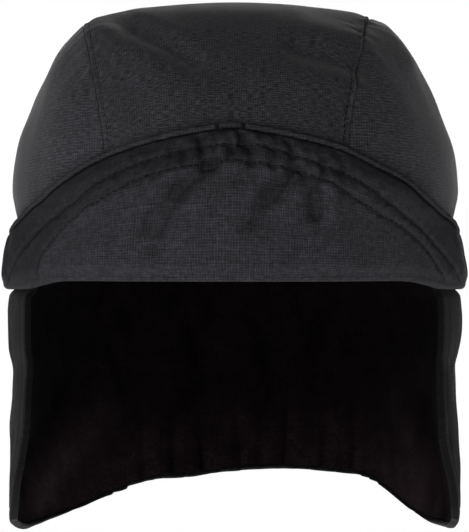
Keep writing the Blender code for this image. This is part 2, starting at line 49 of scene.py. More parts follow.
CROWN_BACK = 0.108
CROWN_HEIGHT = 0.112
CROWN_WALL = 0.0025
CENTRE_PANEL_WIDTH = 0.1236

# Peak, turned up against the crown's front
PEAK_HEIGHT = 0.0596
PEAK_STAND = 0.006
PEAK_UNDER_WALL = 0.0012
PEAK_TOP_WALL = 0.001
PEAK_ROLL_WIDTH = 0.0021
PEAK_ROLL_SLOPE = 0.0004
PEAK_ROLL_PROUD = 0.0003
PEAK_FOLD_RADIUS = 0.0022
PEAK_FOLD_DROP = 0.0016
PEAK_FOLD_REACH = 0.0027

# Flap round ears and nape, hanging from the rim
FLAP_DROP = 0.1045
FLAP_SHELL_WALL = 0.001
FLAP_LINING_WALL = 0.0016
FLAP_HEM_WIDTH = 0.0012
FLAP_HEM_SLOPE = 0.0004
FLAP_HEM_PROUD = 0.0002
FLAP_ROUND = 0.0008

# Gap between pieces, folds, seams and stitch rows
GAP = 0.0003
FOLD_DEPTH = 0.0015
FOLD_SPREAD = 0.006
FOLD_REACH = 0.4
SEAM_DIP = 0.0006
SEAM_SPREAD = 0.004
GROOVE_DEPTH = 0.0006
GROOVE_SPREAD = 0.0006
GATHER_DEPTH = 0.0018
SEAM_STRIP_WIDTH = 0.0021
SEAM_STRIP_RISE = 0.0003
ROW_DIP = 0.0007
ROW_SPREAD = 0.0009
CREASE_DEPTH = 0.0019
PUCKER_DEPTH = 0.00065
PUCKER_PITCH = 0.0066
PUCKER_CENTRE = 0.05
WRINKLE_DEPTH = 0.0003
HEM_ROW_INSET = 0.0055
BAND_RISES = (0.0014, 0.0004)
BAND_SPREAD = 0.0045
BODY_RISE = 0.0020
BODY_SLOPE = 0.006
# Painted shade: on the peak's band and in its seam's groove, how much of it the flap's nape hem loses, and
# on the flap's front strip, more of it low on the right
PAINTED_BAND_SHADE = 0.42
PAINTED_SEAM_SHADE = 0.6
HEM_SHADE_EASE = 0.25
PAINTED_STRIP_SHADE = 0.51
PAINTED_LOW_STRIP_SHADE = 0.38
ROLL_RISE = 0.0003
JOIN_RISE = 0.0003
NOTCH_DEPTH = 0.0017
NOTCH_SPREAD = 0.34
TOP_FADE = (0.80, 0.95)

# Share of CROWN_HEIGHT or FLAP_DROP beside the rim over which the cloth starts to lean and to fold
LEVEL_SHARE = 0.1

# The crown's left seam beside its right one: shares of its dip, its groove and its strip
LEFT_SEAM = (0.25, 0.35, 0.2)

# Under cloth of the peak: swell between its rows, puckers, painted shades, and the angles over which its
# parts fade
SWELL_RISE = 0.0004
SWELL_REACH = 0.003
SWELL_BELOW = 0.6
LEFT_DIP = 1.2
LEFT_END = (44.0, 56.0)
BODY_FADE = (26.0, 56.0)
BAND_FADE = (-40.0, 30.0)
BAND_START = (-70.0, -30.0)
BAND_SHADE_FADE = (-12.0, 38.0)
GATHERED = (0.25, 6.0, 24.0)
PUCKER_RADIUS = PUCKER_CENTRE + 0.8 * PEAK_HEIGHT
PUCKER_STRETCH = 0.22
PUCKER_SWING = (2.4, 1.5)
PUCKER_REACHES = (0.0042, 0.0035)
PUCKER_START = 0.001
ROW_CALM = (0.35, 0.0012)
EDGE_FADE = 0.002
EDGE_DIP = 0.7 * SEAM_DIP
FOOT_FADE = 0.004
BAND_EDGE = 0.001
PAINTED_CHANNEL_SHADE = (0.3, 0.5)
CHANNEL_SHADE_FADE = (30.0, 50.0)

# Rolled edges of the peak and the flap: turns of their round in degrees, and where the peak's one changes.
# ROLL_LIP is the foot of the peak's one: distance past PEAK_ROLL_WIDTH, and height over the under cloth.
ROLL_TURNS = (84, 66, 48, 30, 14, 0)
ROLL_LIP = ((-0.0005, PEAK_ROLL_PROUD - 0.0001), (-0.0001, 0.0), (0.0002, -0.0007))
HEM_TURNS = (84, 60, 36, 14, 0)
HEM_LIP = 0.0002
ROLL_FADE = (60.0, 80.0)
JOIN_FADE = 0.3
# Painted shade of the notches at the ends of the peak's join
PAINTED_NOTCH_SHADE = 0.9

# Flap: pleats of its nape, and fades of its painted shades by angle from the nape and by share of FLAP_DROP
NAPE_MIDDLE = 3.0
NAPE_FADE = (30.0, 42.0)
PLEAT_SHARE = 1.4
PLEAT_HEIGHT = 0.34
HEM_ROW_DIP = 0.7 * ROW_DIP
HEM_FADE = (0.70, 0.85)
HEM_SIDE_FADE = (60.0, 85.0)
STRIP_FADE = (76.0, 94.0)
LOW_STRIP_FADE = (0.26, 0.38)
LOW_STRIP_SIDE_FADE = (60.0, 90.0)

# Fleece: painted light and shade, from side to side, in folds, in gathers and beside them
FLEECE_SIDE_SHADE = 0.1
FLEECE_SHADE_ANGLE = 60.0
FLEECE_FOLD_SHADE = 0.3
FLEECE_GATHER_SHADE = 0.45
FLEECE_CREST_LIGHT = 0.15
FLEECE_SHADE_SWAY = 3.0

# Smooth random relief: share, length of its bumps and seed. A RUN is how fast one changes across and up.
CROWN_WRINKLES = ((1.4, 0.06, 1), (0.6, 0.022, 2))
SEAM_PUCKERS = ((1.0, 0.008, 3),)
PUCKER_SWAY = ((1.6, 0.02, 4),)
PUCKER_NOISE = ((0.6, 0.0055, 5), (0.3, 0.0033, 6))
PEAK_WRINKLES = ((1.2, 0.045, 7), (0.5, 0.018, 8))
ROLL_WAVER = ((0.00012, 0.012, 9),)
ROLL_RUN = (1.0, 0.0)
FLAP_PLEATS = ((1.0, 0.011, 11), (0.6, 0.006, 14))
PLEAT_RUN = (1.0, 0.15)
FLAP_WRINKLES = ((1.0, 0.05, 12), (0.4, 0.02, 13))
NAP_PATCHES = ((0.08, 0.012, 15),)
NAP_RUN = (1.0, 0.5)

# Weave: sizes and stretches of its threads' marks, and NOISE_RANGE, which is what noise mostly fills
WEAVE_PITCH = 0.0011
THREAD_BEND = 4.0
BEND_SIZE = 12 * WEAVE_PITCH
SLUB_SIZE = 0.34 * WEAVE_PITCH
SLUB_STRETCH = 8.0
UPRIGHT_SIZE = 2.4 * WEAVE_PITCH
UPRIGHT_STRETCH = 0.14
DYE_SIZE = 0.02
NAP_SIZE = 0.0013
CLUMP_SIZE = 0.006
STRAND_SIZE = 0.0004
NOISE_RANGE = (0.3, 0.7)

# Stitches
STITCH_LENGTH = 0.0021
STITCH_PITCH = 0.0029
STITCH_RADIUS = 0.00029
STITCH_SIDES = 6
TACK_PLACE = (60.5, 0.0010)
TACK_SIZE = 0.0042
TACK_ROWS = 7
PEAK_ROW_POINTS = 400
CROWN_ROW_POINTS = 500
HEM_ROW_POINTS = 700
TACK_POINTS = 280
ROW_ENDS = (0.02, 0.98)
RIM_ROW_ENDS = (70.0, 290.0)
STITCH_RINGS = ((-1.0, 0.15), (-0.85, 0.75), (-0.4, 1.0), (0.4, 1.0), (0.85, 0.75), (1.0, 0.15))

# Steps of the grids, in metres; EDGE_STEPS are the distances from a border to the lines beside it
CROWN_STEP = 0.00115
SIDE_STEP = 0.0013
PEAK_STEP = 0.0008
TOP_STEPS = (1.3 * PEAK_STEP, 3 * PEAK_STEP)
FLAP_STEP = 0.00125
EDGE_STEPS = (0.0, 0.00025, 0.0006, 0.0011, 0.0018)
HOOK_ROWS = 8
SHARP_ANGLE = math.radians(60)
CURVE_STEPS = 24
NOISE_WAVES = 14

# Search for points on the outside
HALVINGS = 34
DIRECTION_STEP = 0.002
PROBE = 1e-4
TINY = 1e-9
FAR = 9.0
ASLANT = (0.3, 0.2, 0.9)

# Sections of the crown: height as a share of CROWN_HEIGHT; half width, front and back as shares of half
# CROWN_WIDTH, CROWN_FRONT and CROWN_BACK; and how square the oval is, 2 being an ellipse.
CROWN_SECTIONS = (
    (0.000, 0.965, 0.984, 0.977, 2.10),
    (0.150, 0.967, 0.991, 0.993, 2.10),
    (0.205, 0.976, 0.991, 0.997, 2.10),
    (0.250, 0.989, 0.989, 1.000, 2.12),
    (0.320, 1.000, 0.983, 1.000, 2.15),
    (0.471, 0.974, 0.946, 0.963, 2.20),
    (0.606, 0.914, 0.874, 0.894, 2.25),
    (0.716, 0.855, 0.785, 0.806, 2.30),
    (0.804, 0.794, 0.687, 0.708, 2.35),
    (0.880, 0.722, 0.570, 0.593, 2.35),
    (0.933, 0.645, 0.453, 0.477, 2.30),
    (0.963, 0.532, 0.346, 0.370, 2.20),
    (0.983, 0.350, 0.227, 0.243, 2.10),
    (0.9955, 0.172, 0.110, 0.118, 2.00),
    (1.000, 0.000, 0.000, 0.000, 2.00),
)

# Sections of the flap: drop below the rim as a share of FLAP_DROP; the other columns as above.
FLAP_SECTIONS = (
    (0.00, 0.965, 0.984, 0.977, 2.10),
    (0.05, 0.984, 0.990, 0.981, 2.10),
    (0.07, 1.007, 1.000, 0.986, 2.10),
    (0.13, 1.010, 1.000, 0.990, 2.15),
    (0.21, 1.007, 1.000, 0.988, 2.20),
    (0.28, 1.001, 1.000, 0.983, 2.20),
    (0.34, 0.990, 1.000, 0.977, 2.20),
    (0.42, 0.993, 1.000, 0.968, 2.20),
    (0.56, 1.000, 1.000, 0.950, 2.20),
    (0.70, 1.005, 1.000, 0.925, 2.20),
    (0.82, 1.012, 1.000, 0.900, 2.20),
    (0.93, 1.009, 1.000, 0.885, 2.20),
    (0.97, 0.997, 1.000, 0.880, 2.20),
    (1.01, 0.970, 1.000, 0.872, 2.20),
)

# Reach of the centre panel to its left and right seam, as shares of half CENTRE_PANEL_WIDTH, at even steps
# from the front rim over the top to the back rim.
SEAM_SHARES = (
    (0.760, 0.700),
    (0.825, 0.722),
    (0.935, 0.825),
    (1.000, 0.900),
    (0.940, 0.880),
    (0.820, 0.800),
    (0.730, 0.730),
)
SEAM_CORNER = 0.19

# Folds of the crown's front: start and end across and up, as shares of half CROWN_WIDTH and CROWN_HEIGHT,
# then spread and rise as shares of FOLD_SPREAD and FOLD_DEPTH.
CROWN_FOLDS = (
    (-0.54, 0.95, -0.44, 0.89, 0.75, -2.4),
    (-0.37, 0.85, -0.17, 0.76, 0.75, -2.2),
    (-0.45, 0.93, -0.24, 0.85, 0.8, 1.0),
    (-0.62, 0.86, -0.36, 0.75, 1.2, 1.2),
    (-0.30, 0.66, -0.10, 0.62, 1.4, 0.5),
    (0.35, 0.96, 0.58, 0.92, 0.8, -0.9),
    (0.20, 0.87, 0.48, 0.83, 1.0, 1.1),
    (0.27, 0.80, 0.52, 0.74, 0.9, -1.9),
    (0.30, 0.70, 0.50, 0.67, 1.2, 0.6),
    (0.70, 0.90, 0.78, 0.77, 0.8, 1.2),
    (-0.80, 0.80, -0.74, 0.60, 1.4, 0.7),
)

# Free edge of the peak: angle from the front in degrees, and height above the rim at its left and its right
# as shares of PEAK_HEIGHT. PEAK_END goes on from both its ends, with an angle and a height share.
PEAK_EDGE = (
    (0.0, 0.976, 0.976),
    (8.0, 0.950, 0.944),
    (16.0, 0.905, 0.899),
    (24.0, 0.842, 0.836),
    (31.5, 0.763, 0.741),
    (39.0, 0.660, 0.658),
    (47.0, 0.556, 0.552),
    (56.0, 0.474, 0.465),
    (65.0, 0.405, 0.415),
    (75.0, 0.358, 0.365),
    (84.0, 0.330, 0.330),
)
PEAK_END = ((84.0, 0.330), (91.0, 0.285), (96.0, 0.20), (98.5, 0.07), (99.0, -0.06))

# Fold line of the peak: angle from the front, and depth below the rim as a share of PEAK_FOLD_DROP.
PEAK_FOLD = ((0.0, 1.0), (20.0, 1.0), (40.0, 1.05), (49.0, 2.0), (58.0, 3.05), (75.0, 3.25), (99.0, 3.25))

# Left and right end of the join in the peak's rolled edge: angles from the front.
ROLL_JOIN = (-3.3, 1.7)

# Distance of the peak's face from the crown, from fold to free edge, as shares of PEAK_STAND.
PEAK_STANDS = (
    (0.00, 1.00),
    (0.15, 1.12),
    (0.30, 1.12),
    (0.46, 1.06),
    (0.62, 0.96),
    (0.78, 0.80),
    (0.90, 0.64),
    (1.00, 0.56),
)

# Stitch rows of the peak: angle from the front in degrees, and height as a share of PEAK_HEIGHT.
OUTER_ROW = (
    (-70.0, -0.04),
    (-58.0, 0.15),
    (-46.5, 0.334),
    (-35.5, 0.480),
    (-24.9, 0.650),
    (-14.1, 0.765),
    (-5.6, 0.820),
    (3.2, 0.828),
    (9.0, 0.790),
    (15.6, 0.727),
    (24.5, 0.619),
    (36.8, 0.423),
    (45.5, 0.294),
    (57.8, 0.104),
    (69.0, -0.04),
)
INNER_ROW = (
    (-48.2, -0.03),
    (-45.9, 0.120),
    (-41.5, 0.225),
    (-33.1, 0.414),
    (-26.1, 0.523),
    (-16.1, 0.639),
    (-6.5, 0.700),
    (1.3, 0.721),
    (12.7, 0.661),
    (21.9, 0.547),
    (30.8, 0.408),
    (44.9, 0.195),
    (51.5, 0.060),
    (56.0, -0.04),
)

# Soft folds and creases of the peak: angle and height share at start and end, then spread and rise as
# shares of FOLD_SPREAD and CREASE_DEPTH.
PEAK_CREASES = (
    (1.2, 0.93, 2.1, 0.83, 0.30, -1.6),
    (-0.4, 0.93, 0.0, 0.84, 0.28, 0.9),
    (3.7, 0.93, 4.2, 0.85, 0.28, 0.7),
    (0.6, 0.84, -4.7, 0.69, 0.34, -1.2),
    (-4.7, 0.69, -10.9, 0.55, 0.60, -1.7),
    (-10.9, 0.55, -15.2, 0.36, 0.80, -1.6),
    (-15.2, 0.36, -15.6, 0.20, 0.85, -1.1),
    (-1.6, 0.70, -8.6, 0.50, 0.60, 1.2),
    (-8.6, 0.50, -11.5, 0.28, 0.90, 0.9),
    (-9.5, 0.66, -17.5, 0.52, 0.65, 1.2),
    (-7.4, 0.91, -6.6, 0.82, 0.36, -0.8),
    (-10.8, 0.82, -9.9, 0.70, 0.30, -0.8),
    (-13.2, 0.80, -12.6, 0.69, 0.28, -0.6),
    (-6.2, 0.79, -5.5, 0.68, 0.26, -0.8),
    (3.2, 0.82, 3.3, 0.72, 0.30, -0.8),
    (7.4, 0.82, 7.4, 0.69, 0.28, -0.8),
    (10.9, 0.86, 12.6, 0.70, 0.34, -0.9),
    (12.1, 0.67, 7.0, 0.53, 0.55, -1.8),
    (7.0, 0.53, 3.6, 0.36, 0.75, -1.3),
    (15.0, 0.64, 9.6, 0.47, 0.60, 1.2),
    (9.0, 0.67, 4.2, 0.54, 0.50, 0.7),
    (17.8, 0.74, 17.9, 0.62, 0.32, -0.9),
    (15.5, 0.62, 15.9, 0.42, 0.60, -1.6),
    (18.3, 0.58, 18.8, 0.40, 0.60, 1.0),
    (22.1, 0.79, 22.3, 0.68, 0.32, -0.5),
    (-17.9, 0.82, -16.9, 0.70, 0.32, -0.4),
    (-24.0, 0.72, -22.1, 0.59, 0.40, -0.4),
    (-30.0, 0.16, -12.0, 0.10, 1.20, 0.4),
)

# Front edge of the flap: drop as a share of FLAP_DROP, and angle from the nape in degrees.
FLAP_FRONT = (
    (0.00, 120.0),
    (0.30, 120.0),
    (0.55, 119.5),
    (0.70, 115.5),
    (0.80, 111.0),
    (0.88, 106.5),
    (0.945, 101.0),
)

# Lower hem of the flap from the right tip round the nape to the left tip: angle from the nape, and drop.
FLAP_HEM = (
    (101.0, 0.945),
    (92.0, 0.985),
    (80.0, 1.000),
    (70.0, 1.000),
    (60.0, 0.985),
    (50.0, 0.928),
    (42.0, 0.868),
    (36.0, 0.830),
    (30.0, 0.817),
    (15.0, 0.803),
    (0.0, 0.813),
    (-12.0, 0.837),
    (-23.0, 0.850),
    (-35.0, 0.910),
    (-50.0, 0.972),
    (-65.0, 1.000),
    (-80.0, 1.005),
    (-92.0, 0.978),
    (-101.0, 0.945),
)

# Gathers of the elastic nape hem: angle from the nape and half spread in degrees, then height over the hem
# and rise as shares of FLAP_DROP and GATHER_DEPTH.
GATHERS = (
    (-25.0, 3.0, 0.28, -0.7),
    (-17.0, 2.6, 0.34, -1.0),
    (-9.5, 2.4, 0.40, -1.0),
    (0.0, 2.6, 0.42, -1.0),
    (6.0, 2.2, 0.25, -0.6),
    (12.5, 2.6, 0.45, -1.0),
    (23.5, 2.6, 0.40, -1.0),
    (31.0, 2.4, 0.34, -0.9),
    (-30.0, 6.0, 0.60, 0.5),
    (-5.0, 5.0, 0.55, 0.5),
    (18.0, 5.0, 0.60, 0.6),
)

# Soft folds of the ear parts: angle from the nape and drop at start and end, spread and rise as above, with
# rise as a share of FOLD_DEPTH.
EAR_FOLDS = (
    (-37.0, 0.52, -65.0, 0.88, 1.7, -1.4),
    (-50.0, 0.48, -78.0, 0.80, 1.5, 0.9),
    (60.0, 0.55, 74.0, 0.92, 1.8, 0.9),
    (48.0, 0.50, 58.0, 0.85, 1.5, -0.7),
    (96.0, 0.16, 100.0, 0.30, 0.9, 0.5),
    (-96.0, 0.14, -101.0, 0.30, 0.9, 0.5),
)

# Soft folds at the nape, in the flap's shape and in the fleece's painted shade, with the same columns.
NAPE_FOLDS = (
    (-10.7, 0.16, -11.5, 0.52, 1.1, 0.45),
    (6.0, 0.18, 7.0, 0.55, 1.0, 0.45),
    (18.5, 0.16, 19.5, 0.52, 1.0, 0.45),
    (-3.0, 0.24, -2.0, 0.50, 1.3, -0.35),
    (12.5, 0.26, 13.0, 0.52, 1.2, -0.35),
    (-20.0, 0.26, -18.0, 0.46, 1.4, -0.3),
)

# Photo: distance of the camera, metres a pixel at the origin, pixels down, and the height of the lens
CAMERA_DISTANCE = 1.6
PIXEL = 0.00041
PHOTO_ROWS = 532
CAMERA_HEIGHT = 0.0042
SENSOR = 36.0

# Darkest painted shade of a cloth, as at its edge, and of the flap's; painted shade of a valley by metres
# below the cloth, its most, and how many points to each side are taken for the cloth
EDGE_SHADE = 0.3
FLAP_EDGE_SHADE = 0.17
VALLEY_SHADE = 360.0
VALLEY_DARKEST = 0.36
VALLEY_REACH = 6

# Studio: soft boxes with places and watts, the light from all round, and the floor with its own faint light
LIGHTS = (
    ("front_box", (0.0, -1.5, -0.3), 12.8),
    ("left_box", (-1.2, -0.8, 0.6), 11.0),
    ("far_left_box", (-1.41, 0.51, 0.15), 1.6),
    ("right_box", (1.5, 0.0, 0.15), 3.1),
    ("back_box", (0.0, 1.5, 0.3), 10.0),
)
LIGHT_SIZE = 0.9
FILL_STRENGTH = 0.02
FLOOR_GLOW = 0.55
FLOOR_DROP = 0.6
FLOOR_SIZE = 14.0
FLOOR_GRAIN = 1 / 3


def smooth_rows(rows, after=None):
    """A smooth curve through every row, with CURVE_STEPS points from each row to the next."""
    rows = np.asarray(rows, float)
    before = 2 * rows[0] - rows[1]
    after = 2 * rows[-1] - rows[-2] if after is None else np.asarray(after, float)
    knots = np.vstack([before, rows, after])
    f = (np.arange(CURVE_STEPS) / CURVE_STEPS)[:, None]
    curve = []
    for a, b, c, d in zip(knots, knots[1:], knots[2:], knots[3:]):
        curve.append(b + 0.5 * f * (c - a + f * (2 * a - 5 * b + 4 * c - d + f * (3 * (b - c) + d - a))))
    return np.vstack(curve + [rows[-1:]])


def lengths_along(line):
    """Length of a polyline up to each of its points."""
    return np.concatenate([[0.0], np.cumsum(np.linalg.norm(np.diff(line, axis=0), axis=1))])


def line_length(line):
    return float(lengths_along(line)[-1])


def points_at(line, shares):
    """Points at shares of a polyline's length."""
    length = lengths_along(line)
    return np.column_stack([np.interp(shares * length[-1], length, column) for column in line.T])


def spaced(length, step):
    """Shares of a length at about this step, with finer steps beside both ends."""
    fine = np.array(EDGE_STEPS) / length
    middle = np.linspace(fine[-1], 1 - fine[-1], max(round(length / step), 2))
    return np.concatenate([fine[:-1], middle, 1 - fine[-2::-1]])


APEX_MIRROR = np.array(CROWN_SECTIONS[-2]) * (1, -1, -1, -1, 1)
CROWN_CURVE = smooth_rows(CROWN_SECTIONS, after=APEX_MIRROR)
FLAP_CURVE = smooth_rows(FLAP_SECTIONS)
SEAM_CURVE = smooth_rows(SEAM_SHARES)
STAND_CURVE = smooth_rows(PEAK_STANDS)
BODY_SIZES = (CROWN_WIDTH / 2, CROWN_FRONT, CROWN_BACK, 1.0)

# The peak and the flap are laid out in a flat, with the angle times this radius across and the height up.
FLAT_RADIUS = (CROWN_WIDTH / 2 + CROWN_FRONT) / 2
FLAT_DEGREE = math.radians(1) * FLAT_RADIUS


def value_at(curve, place, column=1):
    """Value of a curve's column where its first column has this place."""
    return np.interp(place, curve[:, 0], curve[:, column])


def section_at(height):
    """Half width, front, back and squareness of the body's oval at a height above the rim."""
    up = np.asarray(height, float) / CROWN_HEIGHT
    down = -np.asarray(height, float) / FLAP_DROP
    values = []
    for column, size in enumerate(BODY_SIZES, start=1):
        above, below = value_at(CROWN_CURVE, up, column), value_at(FLAP_CURVE, down, column)
        values.append(size * np.where(up >= 0, above, below))
    return values


def oval_reach(angle, section):
    """Distance from the middle of an oval to its line, at an angle from the front."""
    side, front, back, power = section
    sine = np.abs(np.sin(angle))
    cosine = np.cos(angle)
    length = np.where(cosine > 0, front, back)
    return ((sine / side) ** power + (np.abs(cosine) / length) ** power) ** (-1 / power)


def body_point(angle, height, section_height=None):
    """Point of the body's outside at an angle from the front and a height above the rim."""
    section = section_at(height if section_height is None else section_height)
    reach = oval_reach(angle, section)
    return np.stack([reach * np.sin(angle), -reach * np.cos(angle), height + 0 * reach], axis=-1)


def unit(vectors):
    return vectors / np.linalg.norm(vectors, axis=-1, keepdims=True)


def bell(distance, spread):
    return np.exp(-(distance / spread) ** 2)


def ease(value, start, end):
    """0 up to start and 1 from end on, with a smooth rise between."""
    share = np.clip((value - start) / (end - start), 0, 1)
    return share * share * (3 - 2 * share)


def soft_noise(points, length, seed):
    """A smooth random field, mostly within -1 and 1, whose bumps are about this length across."""
    random = np.random.default_rng(seed)
    total = np.zeros(points.shape[:-1])
    for _ in range(NOISE_WAVES):
        way = unit(random.normal(size=points.shape[-1])) * 2 * math.pi / length * random.uniform(0.5, 1.5)
        total += np.sin(points @ way + random.uniform(0, 2 * math.pi))
    return total / math.sqrt(NOISE_WAVES)


def relief(points, rows):
    """Sum of smooth random fields, one for each row of a share, a length and a seed."""
    return sum(share * soft_noise(points, length, seed) for share, length, seed in rows)


def outside_along(start, direction):
    """Where rays from points inside the crown meet its outside."""
    near = np.zeros(direction.shape[:-1])
    far = np.full(direction.shape[:-1], CROWN_WIDTH + CROWN_HEIGHT)
    for _ in range(HALVINGS):
        middle = (near + far) / 2
        point = start + direction * middle[..., None]
        side, front, back, power = section_at(np.minimum(point[..., 2], CROWN_HEIGHT))
        length = np.where(point[..., 1] < 0, front, back)
        x = np.minimum(np.abs(point[..., 0]) / np.maximum(side, TINY), FAR)
        y = np.minimum(np.abs(point[..., 1]) / np.maximum(length, TINY), FAR)
        inside = (x ** power + y ** power < 1) & (point[..., 2] < CROWN_HEIGHT)
        near = np.where(inside, middle, near)
        far = np.where(inside, far, middle)
    return start + direction * near[..., None]


def seam_reach(turn, side):
    """Reach of the centre panel at a turn from the front rim, to its right seam if side is positive."""
    places = np.linspace(0, 1, len(SEAM_CURVE))
    left, right = (np.interp(turn / math.pi, places, column) for column in SEAM_CURVE.T)
    return np.where(side > 0, right, left) * CENTRE_PANEL_WIDTH / 2


def segment_distance(x, y, x0, y0, x1, y1):
    """Distance from points to a straight stretch in the flat."""
    run = (x1 - x0) ** 2 + (y1 - y0) ** 2
    along = np.clip(((x - x0) * (x1 - x0) + (y - y0) * (y1 - y0)) / max(run, TINY), 0, 1)
    return np.hypot(x - x0 - along * (x1 - x0), y - y0 - along * (y1 - y0))


def line_distance(flat, line):
    """Distance from points in the flat to a line in the flat, by every fourth point of the line."""
    nearest = np.full(flat.shape[:-1], FAR)
    line = line[::4]
    for (x0, y0), (x1, y1) in zip(line, line[1:]):
        nearest = np.minimum(nearest, segment_distance(flat[..., 0], flat[..., 1], x0, y0, x1, y1))
    return nearest


def fold_rise(x, z, folds, width, height):
    """Rise of a set of folds at points given across and up, as a share of their depth."""
    rise = np.zeros(np.shape(x))
    for x0, z0, x1, z1, spread, depth in folds:
        away = segment_distance(x, z, x0 * width, z0 * height, x1 * width, z1 * height)
        rise = rise + depth * bell(away, spread * FOLD_SPREAD)
    return rise


def crown_outward(points):
    """Directions that look out of the crown, level at its rim so that the rim stays flat."""
    along = unit(points)
    side = unit(np.cross(along, ASLANT))
    over = np.cross(along, side)
    start = np.zeros(points.shape)
    ways = (side, -side, over, -over)
    right, left, up, down = (outside_along(start, unit(along + DIRECTION_STEP * way)) for way in ways)
    outward = unit(np.cross(right - left, up - down))
    outward = outward * np.sign(np.sum(outward * along, axis=-1, keepdims=True))
    lean = np.clip(points[..., 2:] / (LEVEL_SHARE * CROWN_HEIGHT), 0, 1)
    return unit(outward * (1, 1, 0) + outward * (0, 0, 1) * lean)


def crown_rise(points):
    """Rise of the crown's folds, seams, topstitched strip and soft wrinkles."""
    x, y, z = points[..., 0], points[..., 1], points[..., 2]
    front = ease(-y, 0, FOLD_REACH * CROWN_FRONT)
    rise = front * FOLD_DEPTH * fold_rise(x, z, CROWN_FOLDS, CROWN_WIDTH / 2, CROWN_HEIGHT)
    inside = seam_reach(np.arctan2(z, -y), x) - np.abs(x)
    dip, groove, strip = (np.where(x > 0, 1.0, share) for share in LEFT_SEAM)
    rise = rise - SEAM_DIP * dip * bell(inside, SEAM_SPREAD)
    rise = rise - GROOVE_DEPTH * groove * bell(inside, GROOVE_SPREAD)
    raised = 1 - ease(inside, SEAM_STRIP_WIDTH - GROOVE_SPREAD, SEAM_STRIP_WIDTH)
    rise = rise + SEAM_STRIP_RISE * strip * ease(inside, 0, GROOVE_SPREAD) * raised
    rise = rise + PUCKER_DEPTH / 3 * relief(points, SEAM_PUCKERS) * bell(inside, 2 * SEAM_SPREAD)
    for row in (inside, z):
        rise = rise - ROW_DIP / 2 * bell(row - SEAM_STRIP_WIDTH, GROOVE_SPREAD)
    rise = rise - GROOVE_DEPTH * bell(z, GROOVE_SPREAD)
    top = 1 - ease(z / CROWN_HEIGHT, *TOP_FADE)
    return rise + WRINKLE_DEPTH * top * relief(points, CROWN_WRINKLES)


def crown_slice(turn, x):
    """Points of the crown's outside at a turn from the front rim, in the planes at these x."""
    turn, x = np.broadcast_arrays(turn, x)
    start = np.stack([x, 0 * x, 0 * x], axis=-1)
    direction = np.stack([0 * x, -np.cos(turn), np.sin(turn)], axis=-1)
    return outside_along(start, direction)


def patch(bottom, top, left, right, across, up):
    """Grid of points between four lines, in rows from bottom to top, at the given shares."""
    v = up[:, None, None]
    u = across[None, :, None]
    between = (1 - v) * bottom[None] + v * top[None]
    along = (1 - u) * left[:, None] + u * right[:, None]
    corners = (1 - v) * ((1 - u) * bottom[0] + u * bottom[-1]) + v * ((1 - u) * top[0] + u * top[-1])
    return between + along - corners


def inset_line(line, distance):
    """A line in the flat, moved to its left side by a distance."""
    ahead = unit(np.gradient(line, axis=0))
    return line + distance * np.column_stack([-ahead[:, 1], ahead[:, 0]])


def grid_faces(grid):
    """Quads of a grid of points that run row by row."""
    rows, columns = grid.shape[0] - 1, grid.shape[1] - 1
    first = (np.arange(rows)[:, None] * (columns + 1) + np.arange(columns)).ravel()
    return np.column_stack([first, first + 1, first + columns + 2, first + columns + 1])


def border_numbers(grid):
    """Point numbers of a grid's side, last row and other side, in order."""
    numbers = np.arange(grid.shape[0] * grid.shape[1]).reshape(grid.shape[:2])
    return np.concatenate([numbers[:-1, 0], numbers[-1], numbers[-2::-1, -1]])


def strip_faces(inner, outer):
    """Quads between two lines of point numbers, turned as the grid's are."""
    return np.column_stack([inner[:-1], inner[1:], outer[1:], outer[:-1]])


def cloth_place(points):
    """Where each point of a grid lies on its cloth: metres across and along."""
    rows, columns = points.shape[:2]
    u, v = np.meshgrid(lengths_along(points[rows // 2]), lengths_along(points[:, columns // 2]))
    return np.column_stack([u.ravel(), v.ravel()])


def link(thing):
    bpy.context.scene.collection.objects.link(thing)
    return thing


def add_piece(name, points, faces, look):
    """A closed mesh from its points and faces, turned to look out."""
    mesh = bpy.data.meshes.new(name)
    mesh.from_pydata(points, [], faces)
    if volume_of(mesh) < 0:
        mesh.flip_normals()
    mesh.materials.append(look)
    mesh.shade_smooth()
    return link(bpy.data.objects.new(name, mesh))


def add_cloth(name, outside, inside, faces, place, look, painted_shading=None):
    """A closed cloth piece between two faces of the same grid, joined round their border.

    The last argument has two rows, for the outside and the inside: light and shade painted into the colour,
    1 where the paint is darkest.
    """
    count = len(outside)
    sides = np.vstack([faces[:, [k, (k + 1) % 4]] for k in range(4)])
    codes = sides[:, 0] * count + sides[:, 1]
    twins = sides[:, 1] * count + sides[:, 0]
    border = sides[~np.isin(codes, twins)]
    walls = np.column_stack([border[:, 1], border[:, 0], border[:, 0] + count, border[:, 1] + count])
    every = np.vstack([faces, faces[:, ::-1] + count, walls])
    piece = add_piece(name, np.vstack([outside, inside]).tolist(), every.tolist(), look)
    piece.data.set_sharp_from_angle(angle=SHARP_ANGLE)
    spread = np.zeros((2 * count, 3))
    spread[:, :2] = np.vstack([place, place])
    values = piece.data.attributes
    values.new("cloth_place", "FLOAT_VECTOR", "POINT").data.foreach_set("vector", spread.ravel())
    if painted_shading is not None:
        shading_values = np.concatenate(painted_shading).astype(float)
        values.new("painted_light_and_shade", "FLOAT", "POINT").data.foreach_set("value", shading_values)
    return piece


def volume_of(mesh):
    """Signed volume of a closed mesh, above 0 where its faces look out."""
    mesh.calc_loop_triangles()
    numbers = np.zeros(len(mesh.loop_triangles) * 3, np.int32)
    mesh.loop_triangles.foreach_get("vertices", numbers)
    points = np.zeros(len(mesh.vertices) * 3)
    mesh.vertices.foreach_get("co", points)
    a, b, c = np.moveaxis(points.reshape(-1, 3)[numbers.reshape(-1, 3)], 1, 0)
    return float(np.sum(a * np.cross(b, c)) / 6)


def round_place(points):
    """Where points lie on a cloth whose threads run level round the crown: metres across and up."""
    level = np.hypot(points[..., 0], points[..., 1])
    across = np.arctan2(points[..., 0], -points[..., 1]) * section_at(points[..., 2])[0]
    up = np.arctan2(points[..., 2], level) * FLAT_RADIUS
    return np.column_stack([across.ravel(), up.ravel()])


